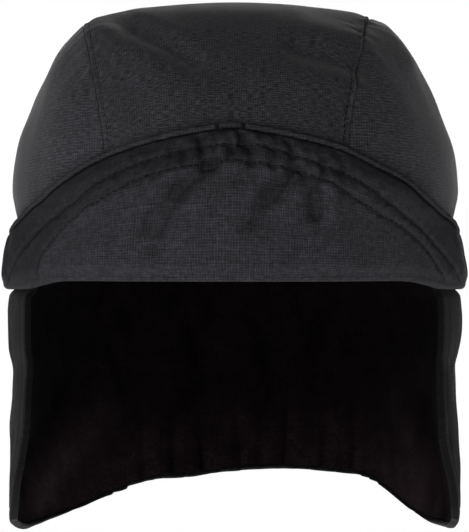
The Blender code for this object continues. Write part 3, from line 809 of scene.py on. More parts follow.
def crown_cloth(name, points, place, look):
    """A panel of the crown, with its wall of the same thickness through its folds and seams."""
    flat = points.reshape(-1, 3)
    outward = crown_outward(flat)
    outside = flat + outward * crown_rise(flat)[:, None]
    return add_cloth(name, outside, outside - outward * CROWN_WALL, grid_faces(points), place, look)


def centre_panel(look):
    turn = spaced(math.pi * CROWN_HEIGHT, CROWN_STEP)[:, None] * math.pi
    across = 2 * spaced(CENTRE_PANEL_WIDTH, CROWN_STEP)[None, :] - 1
    points = crown_slice(turn, across * (seam_reach(turn, across) - GAP / 2))
    return crown_cloth("crown_centre", points, cloth_place(points), look)


def side_panel(name, side, look):
    """side is 1 for the right panel and -1 for the left one."""
    def seam(turns):
        return crown_slice(turns, side * (seam_reach(turns, side) + GAP / 2))

    corner = SEAM_CORNER * math.pi
    up = spaced(corner * CROWN_FRONT, SIDE_STEP)
    across = spaced((math.pi - 2 * corner) * CROWN_HEIGHT, SIDE_STEP)
    left = seam(up * corner)
    right = seam(math.pi - up * corner)
    top = seam(corner + across * (math.pi - 2 * corner))
    first = math.atan2(abs(left[0, 0]), -left[0, 1])
    last = math.atan2(abs(right[0, 0]), -right[0, 1])
    bottom = body_point(side * (first + across * (last - first)), 0.0)
    points = patch(bottom, top, left, right, across, up)
    points = outside_along(np.zeros(points.shape), unit(points))
    return crown_cloth(name, points, round_place(points), look)


def peak_edge_rows():
    """Rows of the peak's free edge from left to right: an angle and a height share."""
    angle, left, right = np.array(PEAK_EDGE).T
    return np.vstack([np.column_stack([-angle, left])[:0:-1], np.column_stack([angle, right])])


def flat_line(rows, height):
    """A line in the flat from rows of an angle in degrees and a height share."""
    return np.column_stack([np.radians(rows[:, 0]) * FLAT_RADIUS, rows[:, 1] * height])


PEAK_ENDS = np.array(PEAK_END[1:])
EDGE_ROWS = np.vstack([PEAK_ENDS[::-1] * (-1, 1), peak_edge_rows(), PEAK_ENDS])
EDGE_LINE = flat_line(smooth_rows(EDGE_ROWS), PEAK_HEIGHT)
OUTER_LINE = flat_line(smooth_rows(OUTER_ROW), PEAK_HEIGHT)
INNER_CURVE = smooth_rows(INNER_ROW)
INNER_LINE = flat_line(INNER_CURVE, PEAK_HEIGHT)
FOLD_CURVE = smooth_rows(PEAK_FOLD)


def peak_fold_height(across):
    """Height of the peak's fold line at a distance across the flat."""
    return -PEAK_FOLD_DROP * value_at(FOLD_CURVE, np.abs(across) / FLAT_DEGREE)


def peak_lines(bottom_rise, inset, across, up):
    """The peak's four lines in the flat, each drawn in from the free edge by the inset."""
    over = inset_line(flat_line(smooth_rows(peak_edge_rows()), PEAK_HEIGHT), -inset)
    end = inset_line(flat_line(smooth_rows(PEAK_END), PEAK_HEIGHT), -inset)
    end[0] = over[-1]
    corner = min(np.interp(bottom_rise, end[::-1, 1], end[::-1, 0]), end[-1, 0])
    foot = peak_fold_height(corner) + bottom_rise
    end = np.vstack([end[end[:, 1] > foot + GAP], [corner, foot]])
    x = corner * (2 * across - 1)
    bottom = np.column_stack([x, peak_fold_height(x) + bottom_rise])
    right = points_at(end[::-1], up)
    return bottom, points_at(over, across), right * (-1, 1), right


PEAK_ACROSS = spaced(line_length(EDGE_LINE), PEAK_STEP)
PEAK_UP = spaced(PEAK_HEIGHT, PEAK_STEP)


def peak_face(flat, stand):
    """Points at a distance from the crown's front, from points in the flat."""
    angle, height = flat[..., 0] / FLAT_RADIUS, flat[..., 1]
    on_crown = np.maximum(height, 0)
    here = body_point(angle, height, on_crown)
    ahead = body_point(angle + PROBE, height, on_crown) - here
    above = body_point(angle, on_crown + PROBE) - body_point(angle, on_crown)
    outward = unit(np.cross(ahead, above))
    return here + outward * np.asarray(stand)[..., None]


def peak_stand(flat):
    """Distance of the peak's face from the crown at points in the flat."""
    fold = peak_fold_height(flat[..., 0])
    top = value_at(EDGE_LINE, flat[..., 0])
    share = np.clip((flat[..., 1] - fold) / np.maximum(top - fold, GAP), 0, 1)
    return PEAK_STAND * value_at(STAND_CURVE, share)


def pucker_rise(flat, angle, reach):
    """Rise of the puckers, which run round a point below the peak and are deepest near its middle."""
    x, y = flat[..., 0], flat[..., 1] + PUCKER_CENTRE
    round_it = np.arctan2(x, y) * PUCKER_RADIUS
    ringed = np.stack([round_it, PUCKER_STRETCH * np.hypot(x, y)], axis=-1)
    phase = 2 * math.pi * round_it / PUCKER_PITCH + relief(ringed, PUCKER_SWAY)
    swing, rest = PUCKER_SWING
    least, middle, spread = GATHERED
    gathered = least + (1 - least) * bell(angle - middle, spread)
    puckers = swing * np.abs(np.sin(phase / 2)) - rest + relief(ringed, PUCKER_NOISE)
    return PUCKER_DEPTH * puckers * gathered * reach


def over_inner_row(flat):
    """Height of points over the peak's inner row, and below 0 under it."""
    angle = np.degrees(flat[..., 0] / FLAT_RADIUS)
    return flat[..., 1] - value_at(INNER_CURVE, angle) * PEAK_HEIGHT


def peak_rise(flat):
    """Rise of the under cloth: stitch rows, creases, puckers and the soft swell between them."""
    x, height = flat[..., 0], flat[..., 1]
    angle = x / FLAT_DEGREE
    outer = line_distance(flat, OUTER_LINE)
    inner = line_distance(flat, INNER_LINE)
    edge = line_distance(flat, EDGE_LINE) - PEAK_ROLL_WIDTH - PEAK_ROLL_SLOPE
    above = over_inner_row(flat) > 0
    between = np.minimum(outer, inner)
    deeper = 1 + LEFT_DIP * ease(-angle, *LEFT_END)
    rise = -ROW_DIP * (bell(outer, ROW_SPREAD) * deeper + bell(inner, ROW_SPREAD))
    rise = rise + SWELL_RISE * ease(between, 0, SWELL_REACH) * np.where(above, 1.0, SWELL_BELOW)
    rise = rise + BODY_RISE * ease(edge, 0, BODY_SLOPE) * (1 - ease(np.abs(angle), *BODY_FADE))
    rise = rise + CREASE_DEPTH * fold_rise(x, height, PEAK_CREASES, FLAT_DEGREE, PEAK_HEIGHT)
    outward, inward = PUCKER_REACHES
    reach = np.where(above, bell(np.maximum(outer - PUCKER_START, 0), outward), bell(inner, inward))
    least, width = ROW_CALM
    rise = rise + pucker_rise(flat, angle, reach) * (least + (1 - least) * ease(between, 0, width))
    rise = rise + WRINKLE_DEPTH * relief(flat, PEAK_WRINKLES)
    most, least = BAND_RISES
    lean = least + (most - least) * (1 - ease(angle, *BAND_FADE)) * ease(angle, *BAND_START)
    rise = rise + lean * bell(inner, BAND_SPREAD)
    rise = rise * ease(edge, 0, EDGE_FADE) - EDGE_DIP * bell(edge, ROW_SPREAD)
    return np.maximum(rise, GAP - PEAK_UNDER_WALL)


def valley_depth(rise):
    """How far the points of a grid lie below the mean of the points round them."""
    width = 2 * VALLEY_REACH + 1
    mean = np.pad(rise, VALLEY_REACH, mode="edge")
    mean = sum(mean[k:len(mean) - width + 1 + k] for k in range(width)) / width
    mean = sum(mean[:, k:mean.shape[1] - width + 1 + k] for k in range(width)) / width
    return np.maximum(mean - rise, 0)


def peak_front(flat):
    """Outside of the under cloth at points in the flat."""
    return peak_face(flat, peak_stand(flat) + peak_rise(flat))


def under_cloth_painted_shade(flat, painted_valley_shade):
    """Painted shade of the under cloth: on its band, most on the left, which leans from the light; in its
    seam's groove beside the rolled edge; in its stitch channel, more to the left; and in its valleys.
    """
    angle = flat[..., 0] / FLAT_DEGREE
    seam = PAINTED_SEAM_SHADE * bell(line_distance(flat, EDGE_LINE) - PEAK_ROLL_WIDTH, ROW_SPREAD)
    band_shade = PAINTED_BAND_SHADE * (1 - ease(angle, *BAND_SHADE_FADE)) * ease(over_inner_row(flat), -BAND_EDGE, BAND_EDGE)
    least, more = PAINTED_CHANNEL_SHADE
    darker = least + more * ease(-angle, *CHANNEL_SHADE_FADE)
    channel = darker * bell(line_distance(flat, OUTER_LINE), ROW_SPREAD)
    return 1 - (1 - np.maximum(np.maximum(band_shade, seam), channel)) * (1 - painted_valley_shade)


def peak_under(look):
    """The cloth that faces forward, with its foot rolled in under the fold."""
    inset = PEAK_ROLL_WIDTH + PEAK_ROLL_SLOPE + GAP
    flat = patch(*peak_lines(PEAK_FOLD_RADIUS, inset, PEAK_ACROSS, PEAK_UP), PEAK_ACROSS, PEAK_UP)
    stand = peak_stand(flat)
    rise = peak_rise(flat)
    # Painted shade in the valleys of creases and puckers, where they sink below the cloth round them
    painted_valley_shade = np.minimum(VALLEY_SHADE * valley_depth(rise), VALLEY_DARKEST)
    rise = rise * ease(flat[..., 1] - flat[:1, :, 1], 0, FOOT_FADE)
    layers = []
    for depth, lift in ((0.0, rise), (PEAK_UNDER_WALL, 0 * rise)):
        radius = PEAK_FOLD_RADIUS - depth
        rows = [peak_face(flat[0] - (0, radius), 0 * stand[0] + PEAK_FOLD_REACH)]
        for bend in np.linspace(math.pi / 2, 0, HOOK_ROWS, endpoint=False):
            forward = stand[0] - PEAK_FOLD_RADIUS + radius * math.cos(bend)
            rows.append(peak_face(flat[0] - (0, radius * math.sin(bend)), forward))
        layers.append(np.vstack([np.array(rows), peak_face(flat, stand - depth + lift)]))
    outside, inside = (layer.reshape(-1, 3) for layer in layers)
    faces, place = grid_faces(layers[0]), cloth_place(layers[0])
    painted_shading = np.vstack([np.zeros((HOOK_ROWS + 1, flat.shape[1])), under_cloth_painted_shade(flat, painted_valley_shade)]).ravel()
    return add_cloth("peak_under", outside, inside, faces, place, look, (painted_shading, 0 * painted_shading))


def edged_grid(lines_at, across, up, insets):
    """A grid in the flat drawn in by the last inset, and rings round it at the others, with their faces.

    Returns the points, their faces and, for each point, the number of its ring, the last being the grid.
    """
    rings = []
    for inset in insets:
        bottom, top, left, right = lines_at(inset, across, up)
        rings.append(np.vstack([left[:-1], top, right[::-1][1:]]))
    grid = patch(bottom, top, left, right, across, up)
    count, length, last = grid.shape[0] * grid.shape[1], len(rings[0]), len(rings) - 1
    lines = [border_numbers(grid)]
    lines += [np.arange(length) + count + k * length for k in range(last)]
    faces = [grid_faces(grid)]
    faces += [strip_faces(inner, outer) for inner, outer in zip(lines, lines[1:])]
    points = np.vstack([grid.reshape(-1, 2)] + rings[-2::-1])
    return points, np.vstack(faces), np.repeat(np.arange(last, -1, -1), [count] + [length] * last)


def peak_top(look):
    """The cloth that lies against the crown, rolled forward along the free edge."""
    foot = PEAK_UNDER_WALL + 2 * GAP
    back = -PEAK_UNDER_WALL - GAP - PEAK_TOP_WALL
    middle = (PEAK_ROLL_PROUD + back) / 2
    half = (PEAK_ROLL_PROUD - back) / 2
    profile = []
    for turn in np.radians(ROLL_TURNS):
        inset = PEAK_ROLL_WIDTH / 2 * (1 - math.sin(turn))
        profile.append((inset, middle + half * math.cos(turn), middle - half * math.cos(turn)))
    for past, proud in (*ROLL_LIP, (PEAK_ROLL_SLOPE, -PEAK_UNDER_WALL - GAP)):
        profile.append((PEAK_ROLL_WIDTH + past, proud, back))
    insets, fronts, backs = np.array(profile).T
    across = spaced(line_length(EDGE_LINE), TOP_STEPS[0])
    up = spaced(PEAK_HEIGHT, TOP_STEPS[1])
    flat, faces, ring = edged_grid(functools.partial(peak_lines, foot), across, up, insets)
    angle = flat[:, 0] / FLAT_DEGREE
    left, right = ROLL_JOIN
    join = ease(angle, left - JOIN_FADE, left) * (1 - ease(angle, right, right + JOIN_FADE))
    ends = bell(angle - left + JOIN_FADE, NOTCH_SPREAD) + bell(angle - right - JOIN_FADE, NOTCH_SPREAD)
    rolled = ring < len(insets) - 2
    proud = ROLL_RISE + JOIN_RISE * join - NOTCH_DEPTH * ends + relief(flat * ROLL_RUN, ROLL_WAVER)
    proud = np.where(rolled, proud, 0.0) * (1 - ease(np.abs(angle), *ROLL_FADE))
    stand = peak_stand(flat)
    front, behind = peak_face(flat, stand + fronts[ring] + proud), peak_face(flat, stand + backs[ring])
    # Painted shade: the seam's groove below the roll and the cloth behind the under cloth darkened fully,
    # and the join's notches darkened
    painted_shading = (np.maximum(~rolled, PAINTED_NOTCH_SHADE * ends), 0 * ring)
    return add_cloth("peak_top", front, behind, faces, flat, look, painted_shading)


def flap_lines(inset, across, up):
    """The flap's four lines in the flat, from the right front edge round the nape to the left one."""
    drawn = inset_line(FLAP_OUTLINE, -inset)
    drawn[:, 1] = np.minimum(drawn[:, 1], -GAP)
    first, last = len(FLAP_SIDE), len(drawn) - len(FLAP_SIDE)
    right = points_at(drawn[:first], up)
    left = points_at(drawn[last:][::-1], up)
    hem = points_at(drawn[first - 1:last + 1], across)
    rim = np.interp(hem[:, 0], [hem[-1, 0], hem[0, 0]], [left[0, 0], right[0, 0]])
    return np.column_stack([rim, np.full(len(hem), -GAP)]), hem, right, left


HEM_LINE = flat_line(smooth_rows(FLAP_HEM), -FLAP_DROP)
FLAP_SIDE = flat_line(smooth_rows(FLAP_FRONT)[:, ::-1], -FLAP_DROP)
FLAP_OUTLINE = np.vstack([FLAP_SIDE[:-1], HEM_LINE, (FLAP_SIDE * (-1, 1))[::-1][1:]])
FLAP_ACROSS = spaced(line_length(HEM_LINE), FLAP_STEP)
FLAP_UP = spaced(FLAP_DROP, FLAP_STEP)


def over_hem(flat):
    """Height of points over the flap's lower hem, as a share of FLAP_DROP."""
    return (flat[..., 1] - value_at(HEM_LINE[::-1], flat[..., 0])) / FLAP_DROP


def flap_folds(flat):
    return fold_rise(flat[..., 0], flat[..., 1], EAR_FOLDS + NAPE_FOLDS, FLAT_DEGREE, -FLAP_DROP)


def flap_rise(flat):
    """Rise of the flap's gathers, folds and soft wrinkles, shared by its cloth and its fleece."""
    angle = flat[..., 0] / FLAT_DEGREE
    over = over_hem(flat)
    rise = FOLD_DEPTH * flap_folds(flat)
    for at, spread, height, depth in GATHERS:
        rise = rise + depth * GATHER_DEPTH * np.clip(1 - over / height, 0, 1) * bell(angle - at, spread)
    nape = 1 - ease(np.abs(angle - NAPE_MIDDLE), *NAPE_FADE)
    near = np.clip(1 - over / PLEAT_HEIGHT, 0, 1)
    rise = rise + PLEAT_SHARE * PUCKER_DEPTH * nape * near * relief(flat * PLEAT_RUN, FLAP_PLEATS)
    rise = rise + WRINKLE_DEPTH * relief(flat, FLAP_WRINKLES)
    return rise * np.clip(-flat[..., 1] / FLAP_DROP / LEVEL_SHARE, 0, 1)


def fleece_painted_light_shade(flat):
    """Painted light and shade of the fleece: 0 lightest on a crest, 1 darkest in a valley and 0.5 between
    them; darker to the left, lighter to the right.
    """
    angle = flat[..., 0] / FLAT_DEGREE
    over = over_hem(flat)
    painted_shading = 0.5 - FLEECE_SIDE_SHADE * np.clip(angle / FLEECE_SHADE_ANGLE, -1, 1) + FLEECE_FOLD_SHADE * flap_folds(flat)
    for at, spread, height, depth in GATHERS:
        fade = np.clip(1 - over / height, 0, 1)
        away = angle - at - FLEECE_SHADE_SWAY * over * math.sin(at)
        painted_shading = painted_shading - FLEECE_GATHER_SHADE * min(depth, 0) * fade * bell(away, spread / 4)
        painted_shading = painted_shading - FLEECE_CREST_LIGHT * fade * bell(away - spread, spread / 2)
    return np.clip(painted_shading + relief(flat * NAP_RUN, NAP_PATCHES), 0, 1)


def flap_face(flat, depth):
    """Points of the flap at a depth below its outside, from points in the flat."""
    angle, height = math.pi - flat[..., 0] / FLAT_RADIUS, flat[..., 1]

    def outside(turned, raised):
        laid = np.stack([(math.pi - turned) * FLAT_RADIUS, raised], axis=-1)
        point = body_point(turned, raised)
        level = unit(point * (1, 1, 0))
        return point + level * flap_rise(laid)[..., None]

    here = outside(angle, height)
    ahead = outside(angle + PROBE, height) - here
    above = here - outside(angle, height - PROBE)
    outward = unit(np.cross(ahead, above))
    outward = outward * np.sign(np.sum(outward * here * (1, 1, 0), axis=-1, keepdims=True))
    lean = np.clip(-height / (LEVEL_SHARE * FLAP_DROP), 0, 1)[..., None]
    outward = unit(outward * (1, 1, 0) + outward * (0, 0, 1) * lean)
    return here - outward * depth[..., None]


def flap_shell(look):
    """The waterproof outer cloth, its edge turned in round the lining."""
    turned = FLAP_SHELL_WALL + GAP + FLAP_LINING_WALL + FLAP_HEM_PROUD
    profile = []
    for turn in np.radians(HEM_TURNS):
        drawn = FLAP_ROUND * (1 - math.cos(turn))
        profile.append((FLAP_ROUND * (1 - math.sin(turn)) / 2, drawn, turned - drawn))
    profile += [
        (FLAP_HEM_WIDTH - HEM_LIP, 0.0, turned),
        (FLAP_HEM_WIDTH, 0.0, turned - HEM_LIP),
        (FLAP_HEM_WIDTH + FLAP_HEM_SLOPE, 0.0, FLAP_SHELL_WALL),
    ]
    insets, outers, inners = np.array(profile).T
    flat, faces, ring = edged_grid(flap_lines, FLAP_ACROSS, FLAP_UP, insets)
    edge = line_distance(flat, FLAP_OUTLINE)
    outer = outers[ring] + HEM_ROW_DIP * bell(edge - HEM_ROW_INSET, GROOVE_SPREAD)
    outer = outer + GROOVE_DEPTH * bell(flat[:, 1] + GAP, GROOVE_SPREAD)
    angle, drop = flat[:, 0] / FLAT_DEGREE, -flat[:, 1] / FLAP_DROP
    # Painted shade: the turned edge darkened, less along the nape's lower hem; the outer cloth darkened
    # towards its front edges, and more so low on the right
    foot = 1 - HEM_SHADE_EASE * ease(drop, *HEM_FADE) * (1 - ease(angle, *HEM_SIDE_FADE))
    low = PAINTED_LOW_STRIP_SHADE * ease(drop, *LOW_STRIP_FADE) * ease(angle, *LOW_STRIP_SIDE_FADE)
    strip = ease(np.abs(angle), *STRIP_FADE) * (PAINTED_STRIP_SHADE + low)
    painted_shading = [np.maximum((ring < rings) * foot, strip) for rings in (1, len(insets) - 1)]
    outside, inside = flap_face(flat, outer), flap_face(flat, inners[ring])
    return add_cloth("flap_cloth", outside, inside, faces, flat, look, painted_shading)


def flap_fleece(look):
    """The fleece inside the flap, held by the turned edge of the outer cloth."""
    inset = FLAP_HEM_WIDTH + FLAP_HEM_SLOPE + GAP
    grid = patch(*flap_lines(inset, FLAP_ACROSS, FLAP_UP), FLAP_ACROSS, FLAP_UP)
    flat = grid.reshape(-1, 2)
    depth = np.full(len(flat), FLAP_SHELL_WALL + GAP)
    cloth_side, fleece = flap_face(flat, depth), flap_face(flat, depth + FLAP_LINING_WALL)
    painted_shading = [fleece_painted_light_shade(flat)] * 2
    return add_cloth("flap_fleece", cloth_side, fleece, grid_faces(grid), flat, look, painted_shading)


def stitches(name, path, outward, look):
    """Stitches along a path on a cloth, each a short thread, joined in one mesh."""
    count = int(line_length(path) / STITCH_PITCH)
    middles = points_at(path, (np.arange(count) + 0.5) / count)
    ahead = unit(points_at(path, (np.arange(count) + 0.55) / count) - middles)
    ways = unit(points_at(np.hstack([path, outward]), (np.arange(count) + 0.5) / count)[:, 3:])
    beside = unit(np.cross(ahead, ways))
    up = np.cross(beside, ahead)
    points, faces = [], []
    for middle, x, y, z in zip(middles, ahead, beside, up):
        base = len(points)
        for along, size in STITCH_RINGS:
            for turn in 2 * math.pi * np.arange(STITCH_SIDES) / STITCH_SIDES:
                round_it = y * math.cos(turn) + z * math.sin(turn)
                points.append(middle + x * along * STITCH_LENGTH / 2 + round_it * size * STITCH_RADIUS)
        for first in range(base, len(points) - STITCH_SIDES, STITCH_SIDES):
            for k in range(STITCH_SIDES):
                a, b = first + k, first + (k + 1) % STITCH_SIDES
                faces.append((a, b, b + STITCH_SIDES, a + STITCH_SIDES))
        faces.append(tuple(range(base, base + STITCH_SIDES))[::-1])
        faces.append(tuple(range(len(points) - STITCH_SIDES, len(points))))
    return add_piece(name, np.array(points).tolist(), faces, look)


def peak_thread(name, flat, look):
    """Stitches on the peak's face along a line in the flat."""
    front = peak_front(flat)
    outward = unit(front - peak_face(flat, peak_stand(flat) - PEAK_STAND))
    return stitches(name, front, outward, look)


def peak_stitches(name, line, look):
    """A stitch row on the peak, in the channel that it draws in."""
    flat = points_at(line, np.linspace(*ROW_ENDS, PEAK_ROW_POINTS))
    above_fold = flat[:, 1] > peak_fold_height(flat[:, 0]) + PEAK_FOLD_RADIUS
    return peak_thread(name, flat[above_fold], look)


def bar_tack(name, look):
    """The block of close stitches that holds the peak's right end."""
    rows = np.repeat(np.linspace(-0.5, 0.5, TACK_ROWS), 2)
    ends = np.resize((-0.5, 0.5, 0.5, -0.5), len(rows))
    middle = (TACK_PLACE[0] * FLAT_DEGREE, TACK_PLACE[1])
    zigzag = np.stack([ends, rows], axis=-1) * TACK_SIZE + middle
    return peak_thread(name, points_at(zigzag, np.linspace(0, 1, TACK_POINTS)), look)


def crown_thread(name, points, look):
    """Stitches on the crown along points of its outside."""
    outward = crown_outward(points)
    return stitches(name, points + outward * crown_rise(points)[:, None], outward, look)


def seam_stitches(name, side, look):
    """The topstitching beside one of the crown's seams, on the centre panel."""
    turn = np.linspace(*ROW_ENDS, CROWN_ROW_POINTS) * math.pi
    return crown_thread(name, crown_slice(turn, side * (seam_reach(turn, side) - SEAM_STRIP_WIDTH)), look)


def rim_stitches(name, look):
    """The topstitching above the crown's rim, round the sides and the back."""
    angle = np.radians(np.linspace(*RIM_ROW_ENDS, CROWN_ROW_POINTS))
    return crown_thread(name, body_point(angle, np.full(len(angle), SEAM_STRIP_WIDTH)), look)


def hem_stitches(name, look):
    """The topstitching along the flap's edge."""
    line = inset_line(FLAP_OUTLINE, -HEM_ROW_INSET)
    flat = points_at(line[line[:, 1] < -HEM_ROW_INSET], np.linspace(0, 1, HEM_ROW_POINTS))
    points = flap_face(flat, 0 * flat[:, 0] + HEM_ROW_DIP)
    outward = unit(points - flap_face(flat, 0 * flat[:, 0] + 2 * FLAP_SHELL_WALL))
    return stitches(name, points, outward, look)


class Nodes:
    """Short calls for building a material's nodes."""

    def __init__(self, name):
        self.look = bpy.data.materials.new(name)
        self.look.use_nodes = True
        self.tree = self.look.node_tree
        self.shader = self.tree.nodes["Principled BSDF"]

    def add(self, kind, inputs=None, **settings):
        node = self.tree.nodes.new(kind)
        for key, value in settings.items():
            setattr(node, key, value)
        for key, value in (inputs or {}).items():
            self.put(node, key, value)
        return node

    def put(self, node, key, value):
        if isinstance(value, bpy.types.NodeSocket):
            self.tree.links.new(value, node.inputs[key])
        else:
            node.inputs[key].default_value = value

    def maths(self, operation, a, b=0.0):
        return self.add("ShaderNodeMath", {0: a, 1: b}, operation=operation).outputs[0]

    def product(self, *values):
        return functools.reduce(functools.partial(self.maths, "MULTIPLY"), values)

    def total(self, *values):
        return functools.reduce(functools.partial(self.maths, "ADD"), values)

    def attribute(self, name, output):
        return self.add("ShaderNodeAttribute", attribute_name=name).outputs[output]

    def vector(self, operation, first, key, second):
        return self.add("ShaderNodeVectorMath", {0: first, key: second}, operation=operation).outputs[0]

    def noise(self, place, size, detail, stretch):
        """Noise with marks of a size, stretch times as long across the cloth as along it."""
        scaled = self.vector("MULTIPLY", place, 1, (1 / size / stretch, 1 / size, 1 / size))
        inputs = {"Vector": scaled, "Scale": 1.0, "Detail": detail, "Roughness": 0.6}
        return self.add("ShaderNodeTexNoise", inputs).outputs["Fac"]

    def remap(self, value, low, high, start=0.0, end=1.0):
        inputs = {"Value": value, "From Min": start, "From Max": end, "To Min": low, "To Max": high}
        return self.add("ShaderNodeMapRange", inputs).outputs["Result"]

    def vary(self, noise, share):
        """A factor that noise moves up and down from 1 by a share."""
        return self.remap(noise, 1 - share, 1 + share, *NOISE_RANGE)

    def paint(self, colour, shade, values):
        """Sets the base colour to a colour times a shade, and the shader's other values."""
        self.put(self.shader, "Base Color", self.vector("SCALE", colour, "Scale", shade))
        for key, value in values.items():
            self.put(self.shader, key, value)

    def bump(self, height, strength, distance):
        inputs = {"Strength": strength, "Distance": distance, "Height": height}
        self.put(self.shader, "Normal", self.add("ShaderNodeBump", inputs).outputs[0])


def woven_look(name, colour, slubs, uprights, sheen, seed, edge=EDGE_SHADE):
    """Woven cloth: crossing threads, uneven threads across and along, and uneven dye."""
    nodes = Nodes(name)
    place = nodes.vector("ADD", nodes.attribute("cloth_place", "Vector"), 1, (seed, seed, seed))
    parts = nodes.add("ShaderNodeSeparateXYZ", {0: place})
    bend = nodes.product(nodes.noise(place, BEND_SIZE, 1.0, 1.0), THREAD_BEND)
    threads = []
    for axis in ("X", "Y"):
        turned = nodes.total(nodes.product(parts.outputs[axis], 2 * math.pi / WEAVE_PITCH), bend)
        threads.append(nodes.maths("SINE", turned))
    weave = nodes.product(nodes.total(*threads), 0.5)
    across = nodes.noise(place, SLUB_SIZE, 0.0, SLUB_STRETCH)
    along = nodes.noise(place, UPRIGHT_SIZE, 0.0, UPRIGHT_STRETCH)
    shade = nodes.product(
        nodes.vary(across, slubs),
        nodes.vary(along, uprights),
        nodes.remap(weave, 0.6, 1.4, -1.0, 1.0),
        nodes.vary(nodes.noise(place, DYE_SIZE, 2.0, 1.0), 0.06),
        # Painted shade of the piece: its colour falls to the edge factor where the painted values reach 1
        nodes.remap(nodes.attribute("painted_light_and_shade", "Fac"), 1.0, edge),
    )
    gloss = {"Roughness": nodes.remap(across, 0.62, 0.78, 0.36, 0.64), "Specular IOR Level": 0.06}
    nodes.paint(colour, shade, {**gloss, "Sheen Weight": sheen, "Sheen Roughness": 0.4})
    height = nodes.total(nodes.product(weave, 0.3), nodes.product(across, 2.0), nodes.product(along, 1.2))
    nodes.bump(height, 0.5, 0.0001)
    return nodes.look


def fleece_look(name, colour):
    """Short fleece: a soft nap of small clumps, painted lighter towards its foot, its upper part being in
    the crown's and peak's shade.
    """
    nodes = Nodes(name)
    place = nodes.attribute("cloth_place", "Vector")
    nap = nodes.noise(place, NAP_SIZE, 4.0, 1.0)
    clumps = nodes.noise(place, CLUMP_SIZE, 2.0, 1.0)
    height = nodes.add("ShaderNodeSeparateXYZ", {0: place}).outputs["Y"]
    shade = nodes.product(
        nodes.vary(nap, 0.4),
        nodes.vary(clumps, 0.2),
        # Painted light towards the foot and painted shade higher up
        nodes.remap(height, 4.6, 1.3, -FLAP_DROP, -FLAP_DROP / 2),
        # Painted light and shade of the piece: twice as light at 0, black at 1
        nodes.remap(nodes.attribute("painted_light_and_shade", "Fac"), 2.0, 0.0),
    )
    gloss = {"Roughness": 0.95, "Specular IOR Level": 0.0, "Sheen Weight": 0.008, "Sheen Roughness": 0.6}
    nodes.paint(colour, shade, gloss)
    nodes.bump(nodes.total(nap, nodes.product(clumps, 2.0)), 0.8, 0.0004)
    return nodes.look


def thread_look(name, colour):
    """Twisted thread."""
    nodes = Nodes(name)
    strand = nodes.noise(nodes.add("ShaderNodeTexCoord").outputs["Object"], STRAND_SIZE, 2.0, 1.0)
    nodes.paint(colour, nodes.vary(strand, 0.3), {"Roughness": 0.7, "Specular IOR Level": 0.15})
    return nodes.look


def add_camera():
    """The photo's view: level, straight from the front."""
    data = bpy.data.cameras.new("camera")
    data.sensor_fit = "VERTICAL"
    data.sensor_height = SENSOR
    data.lens = SENSOR * CAMERA_DISTANCE / (PHOTO_ROWS * PIXEL)
    data.clip_end = 2 * FLOOR_SIZE
    camera = link(bpy.data.objects.new("camera", data))
    camera.location = (0, -CAMERA_DISTANCE, CAMERA_HEIGHT)
    camera.rotation_euler = (math.pi / 2, 0, 0)
    bpy.context.scene.camera = camera


def add_softbox(name, place, watts, size):
    """A square soft light that looks at the cap."""
    data = bpy.data.lights.new(name, "AREA")
    data.size = size
    data.energy = watts
    light = link(bpy.data.objects.new(name, data))
    light.location = place
    away = unit(np.array(place))
    light.rotation_euler = (math.acos(away[2]), 0, math.atan2(away[1], away[0]) + math.pi / 2)


def add_world():
    """A world that is white to the camera and lights the cap faintly."""
    world = bpy.data.worlds.new("studio")
    world.use_nodes = True
    tree = world.node_tree
    seen = tree.nodes.new("ShaderNodeLightPath").outputs["Is Camera Ray"]
    strength = tree.nodes.new("ShaderNodeMapRange")
    strength.inputs["To Min"].default_value = FILL_STRENGTH
    strength.inputs["To Max"].default_value = 1.0
    tree.links.new(seen, strength.inputs["Value"])
    tree.links.new(strength.outputs["Result"], tree.nodes["Background"].inputs["Strength"])
    tree.nodes["Background"].inputs["Color"].default_value = (1, 1, 1, 1)
    bpy.context.scene.world = world
    bpy.context.scene.view_settings.view_transform = "Standard"


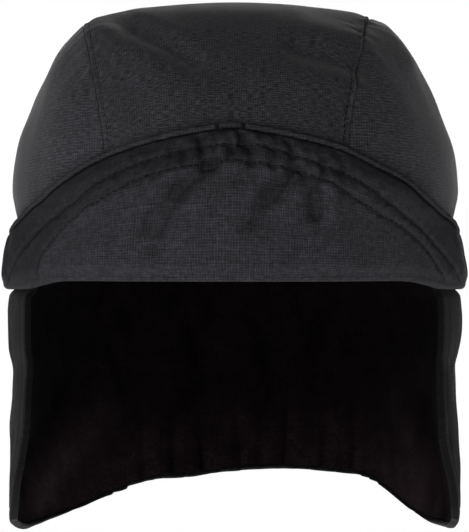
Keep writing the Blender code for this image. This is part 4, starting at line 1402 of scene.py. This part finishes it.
def add_floor():
    nodes = Nodes("floor_paint")
    grain = nodes.noise(nodes.add("ShaderNodeTexCoord").outputs["Object"], FLOOR_GRAIN, 2.0, 1.0)
    glow = {"Emission Color": (1.0, 1.0, 1.0, 1.0), "Emission Strength": FLOOR_GLOW}
    matt = {"Roughness": 1.0, "Specular IOR Level": 0.0}
    nodes.paint((1.0, 1.0, 1.0), nodes.remap(grain, 0.97, 1.0), {**matt, **glow})
    half = FLOOR_SIZE / 2
    corners = [(x * half, y * half, -FLOOR_DROP) for x, y in ((-1, -1), (1, -1), (1, 1), (-1, 1))]
    mesh = bpy.data.meshes.new("floor")
    mesh.from_pydata(corners, [], [(0, 1, 2, 3)])
    mesh.materials.append(nodes.look)
    floor = link(bpy.data.objects.new("floor", mesh))


def fit(piece, node=None):
    """Ties a piece to the cap's one body, and hides the part of model.glb that it stands for."""
    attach(piece, "root")
    if node:
        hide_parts(node)


add_camera()
add_world()
add_floor()
for box in LIGHTS:
    add_softbox(*box, LIGHT_SIZE)

crown_look = woven_look("crown_weave", (0.0262, 0.0258, 0.0298), 0.54, 0.18, 0.10, 0.0)
# The side panels are the centre panel's cloth, painted lighter and given more sheen where the side lights
# fall on them.
lit_side_look = woven_look("side_weave_lit", (0.0287, 0.0282, 0.0328), 0.44, 0.15, 0.16, 0.31)
peak_look = woven_look("peak_weave", (0.0219, 0.0214, 0.0250), 0.28, 0.25, 0.0, 0.17)
# The flap's cloth is darker than the crown's: partly its own colour and partly painted shade.
flap_look = woven_look("flap_weave", (0.0160, 0.0157, 0.0182), 0.36, 0.16, 0.02, 0.47, FLAP_EDGE_SHADE)
black_fleece = fleece_look("black_fleece", (0.0020, 0.0013, 0.0016))
black_thread = thread_look("black_thread", (0.002, 0.002, 0.0025))
grey_thread = thread_look("grey_thread", (0.026, 0.026, 0.028))

fit(centre_panel(crown_look), "crown_centre_panel")
fit(side_panel("crown_side_l", -1, lit_side_look), "crown_side_left")
fit(side_panel("crown_side_r", 1, lit_side_look), "crown_side_right")
fit(peak_under(peak_look), "peak_under_cloth")
fit(peak_top(peak_look), "peak_top_cloth")
fit(flap_shell(flap_look), "flap_shell")
fit(flap_fleece(black_fleece), "flap_lining")
fit(peak_stitches("peak_outer_row", OUTER_LINE, black_thread))
fit(peak_stitches("peak_inner_row", INNER_LINE, black_thread))
fit(bar_tack("peak_bar_tack", grey_thread))
fit(seam_stitches("left_seam_row", -1, black_thread))
fit(seam_stitches("right_seam_row", 1, black_thread))
fit(rim_stitches("rim_row", black_thread))
fit(hem_stitches("hem_row", black_thread))
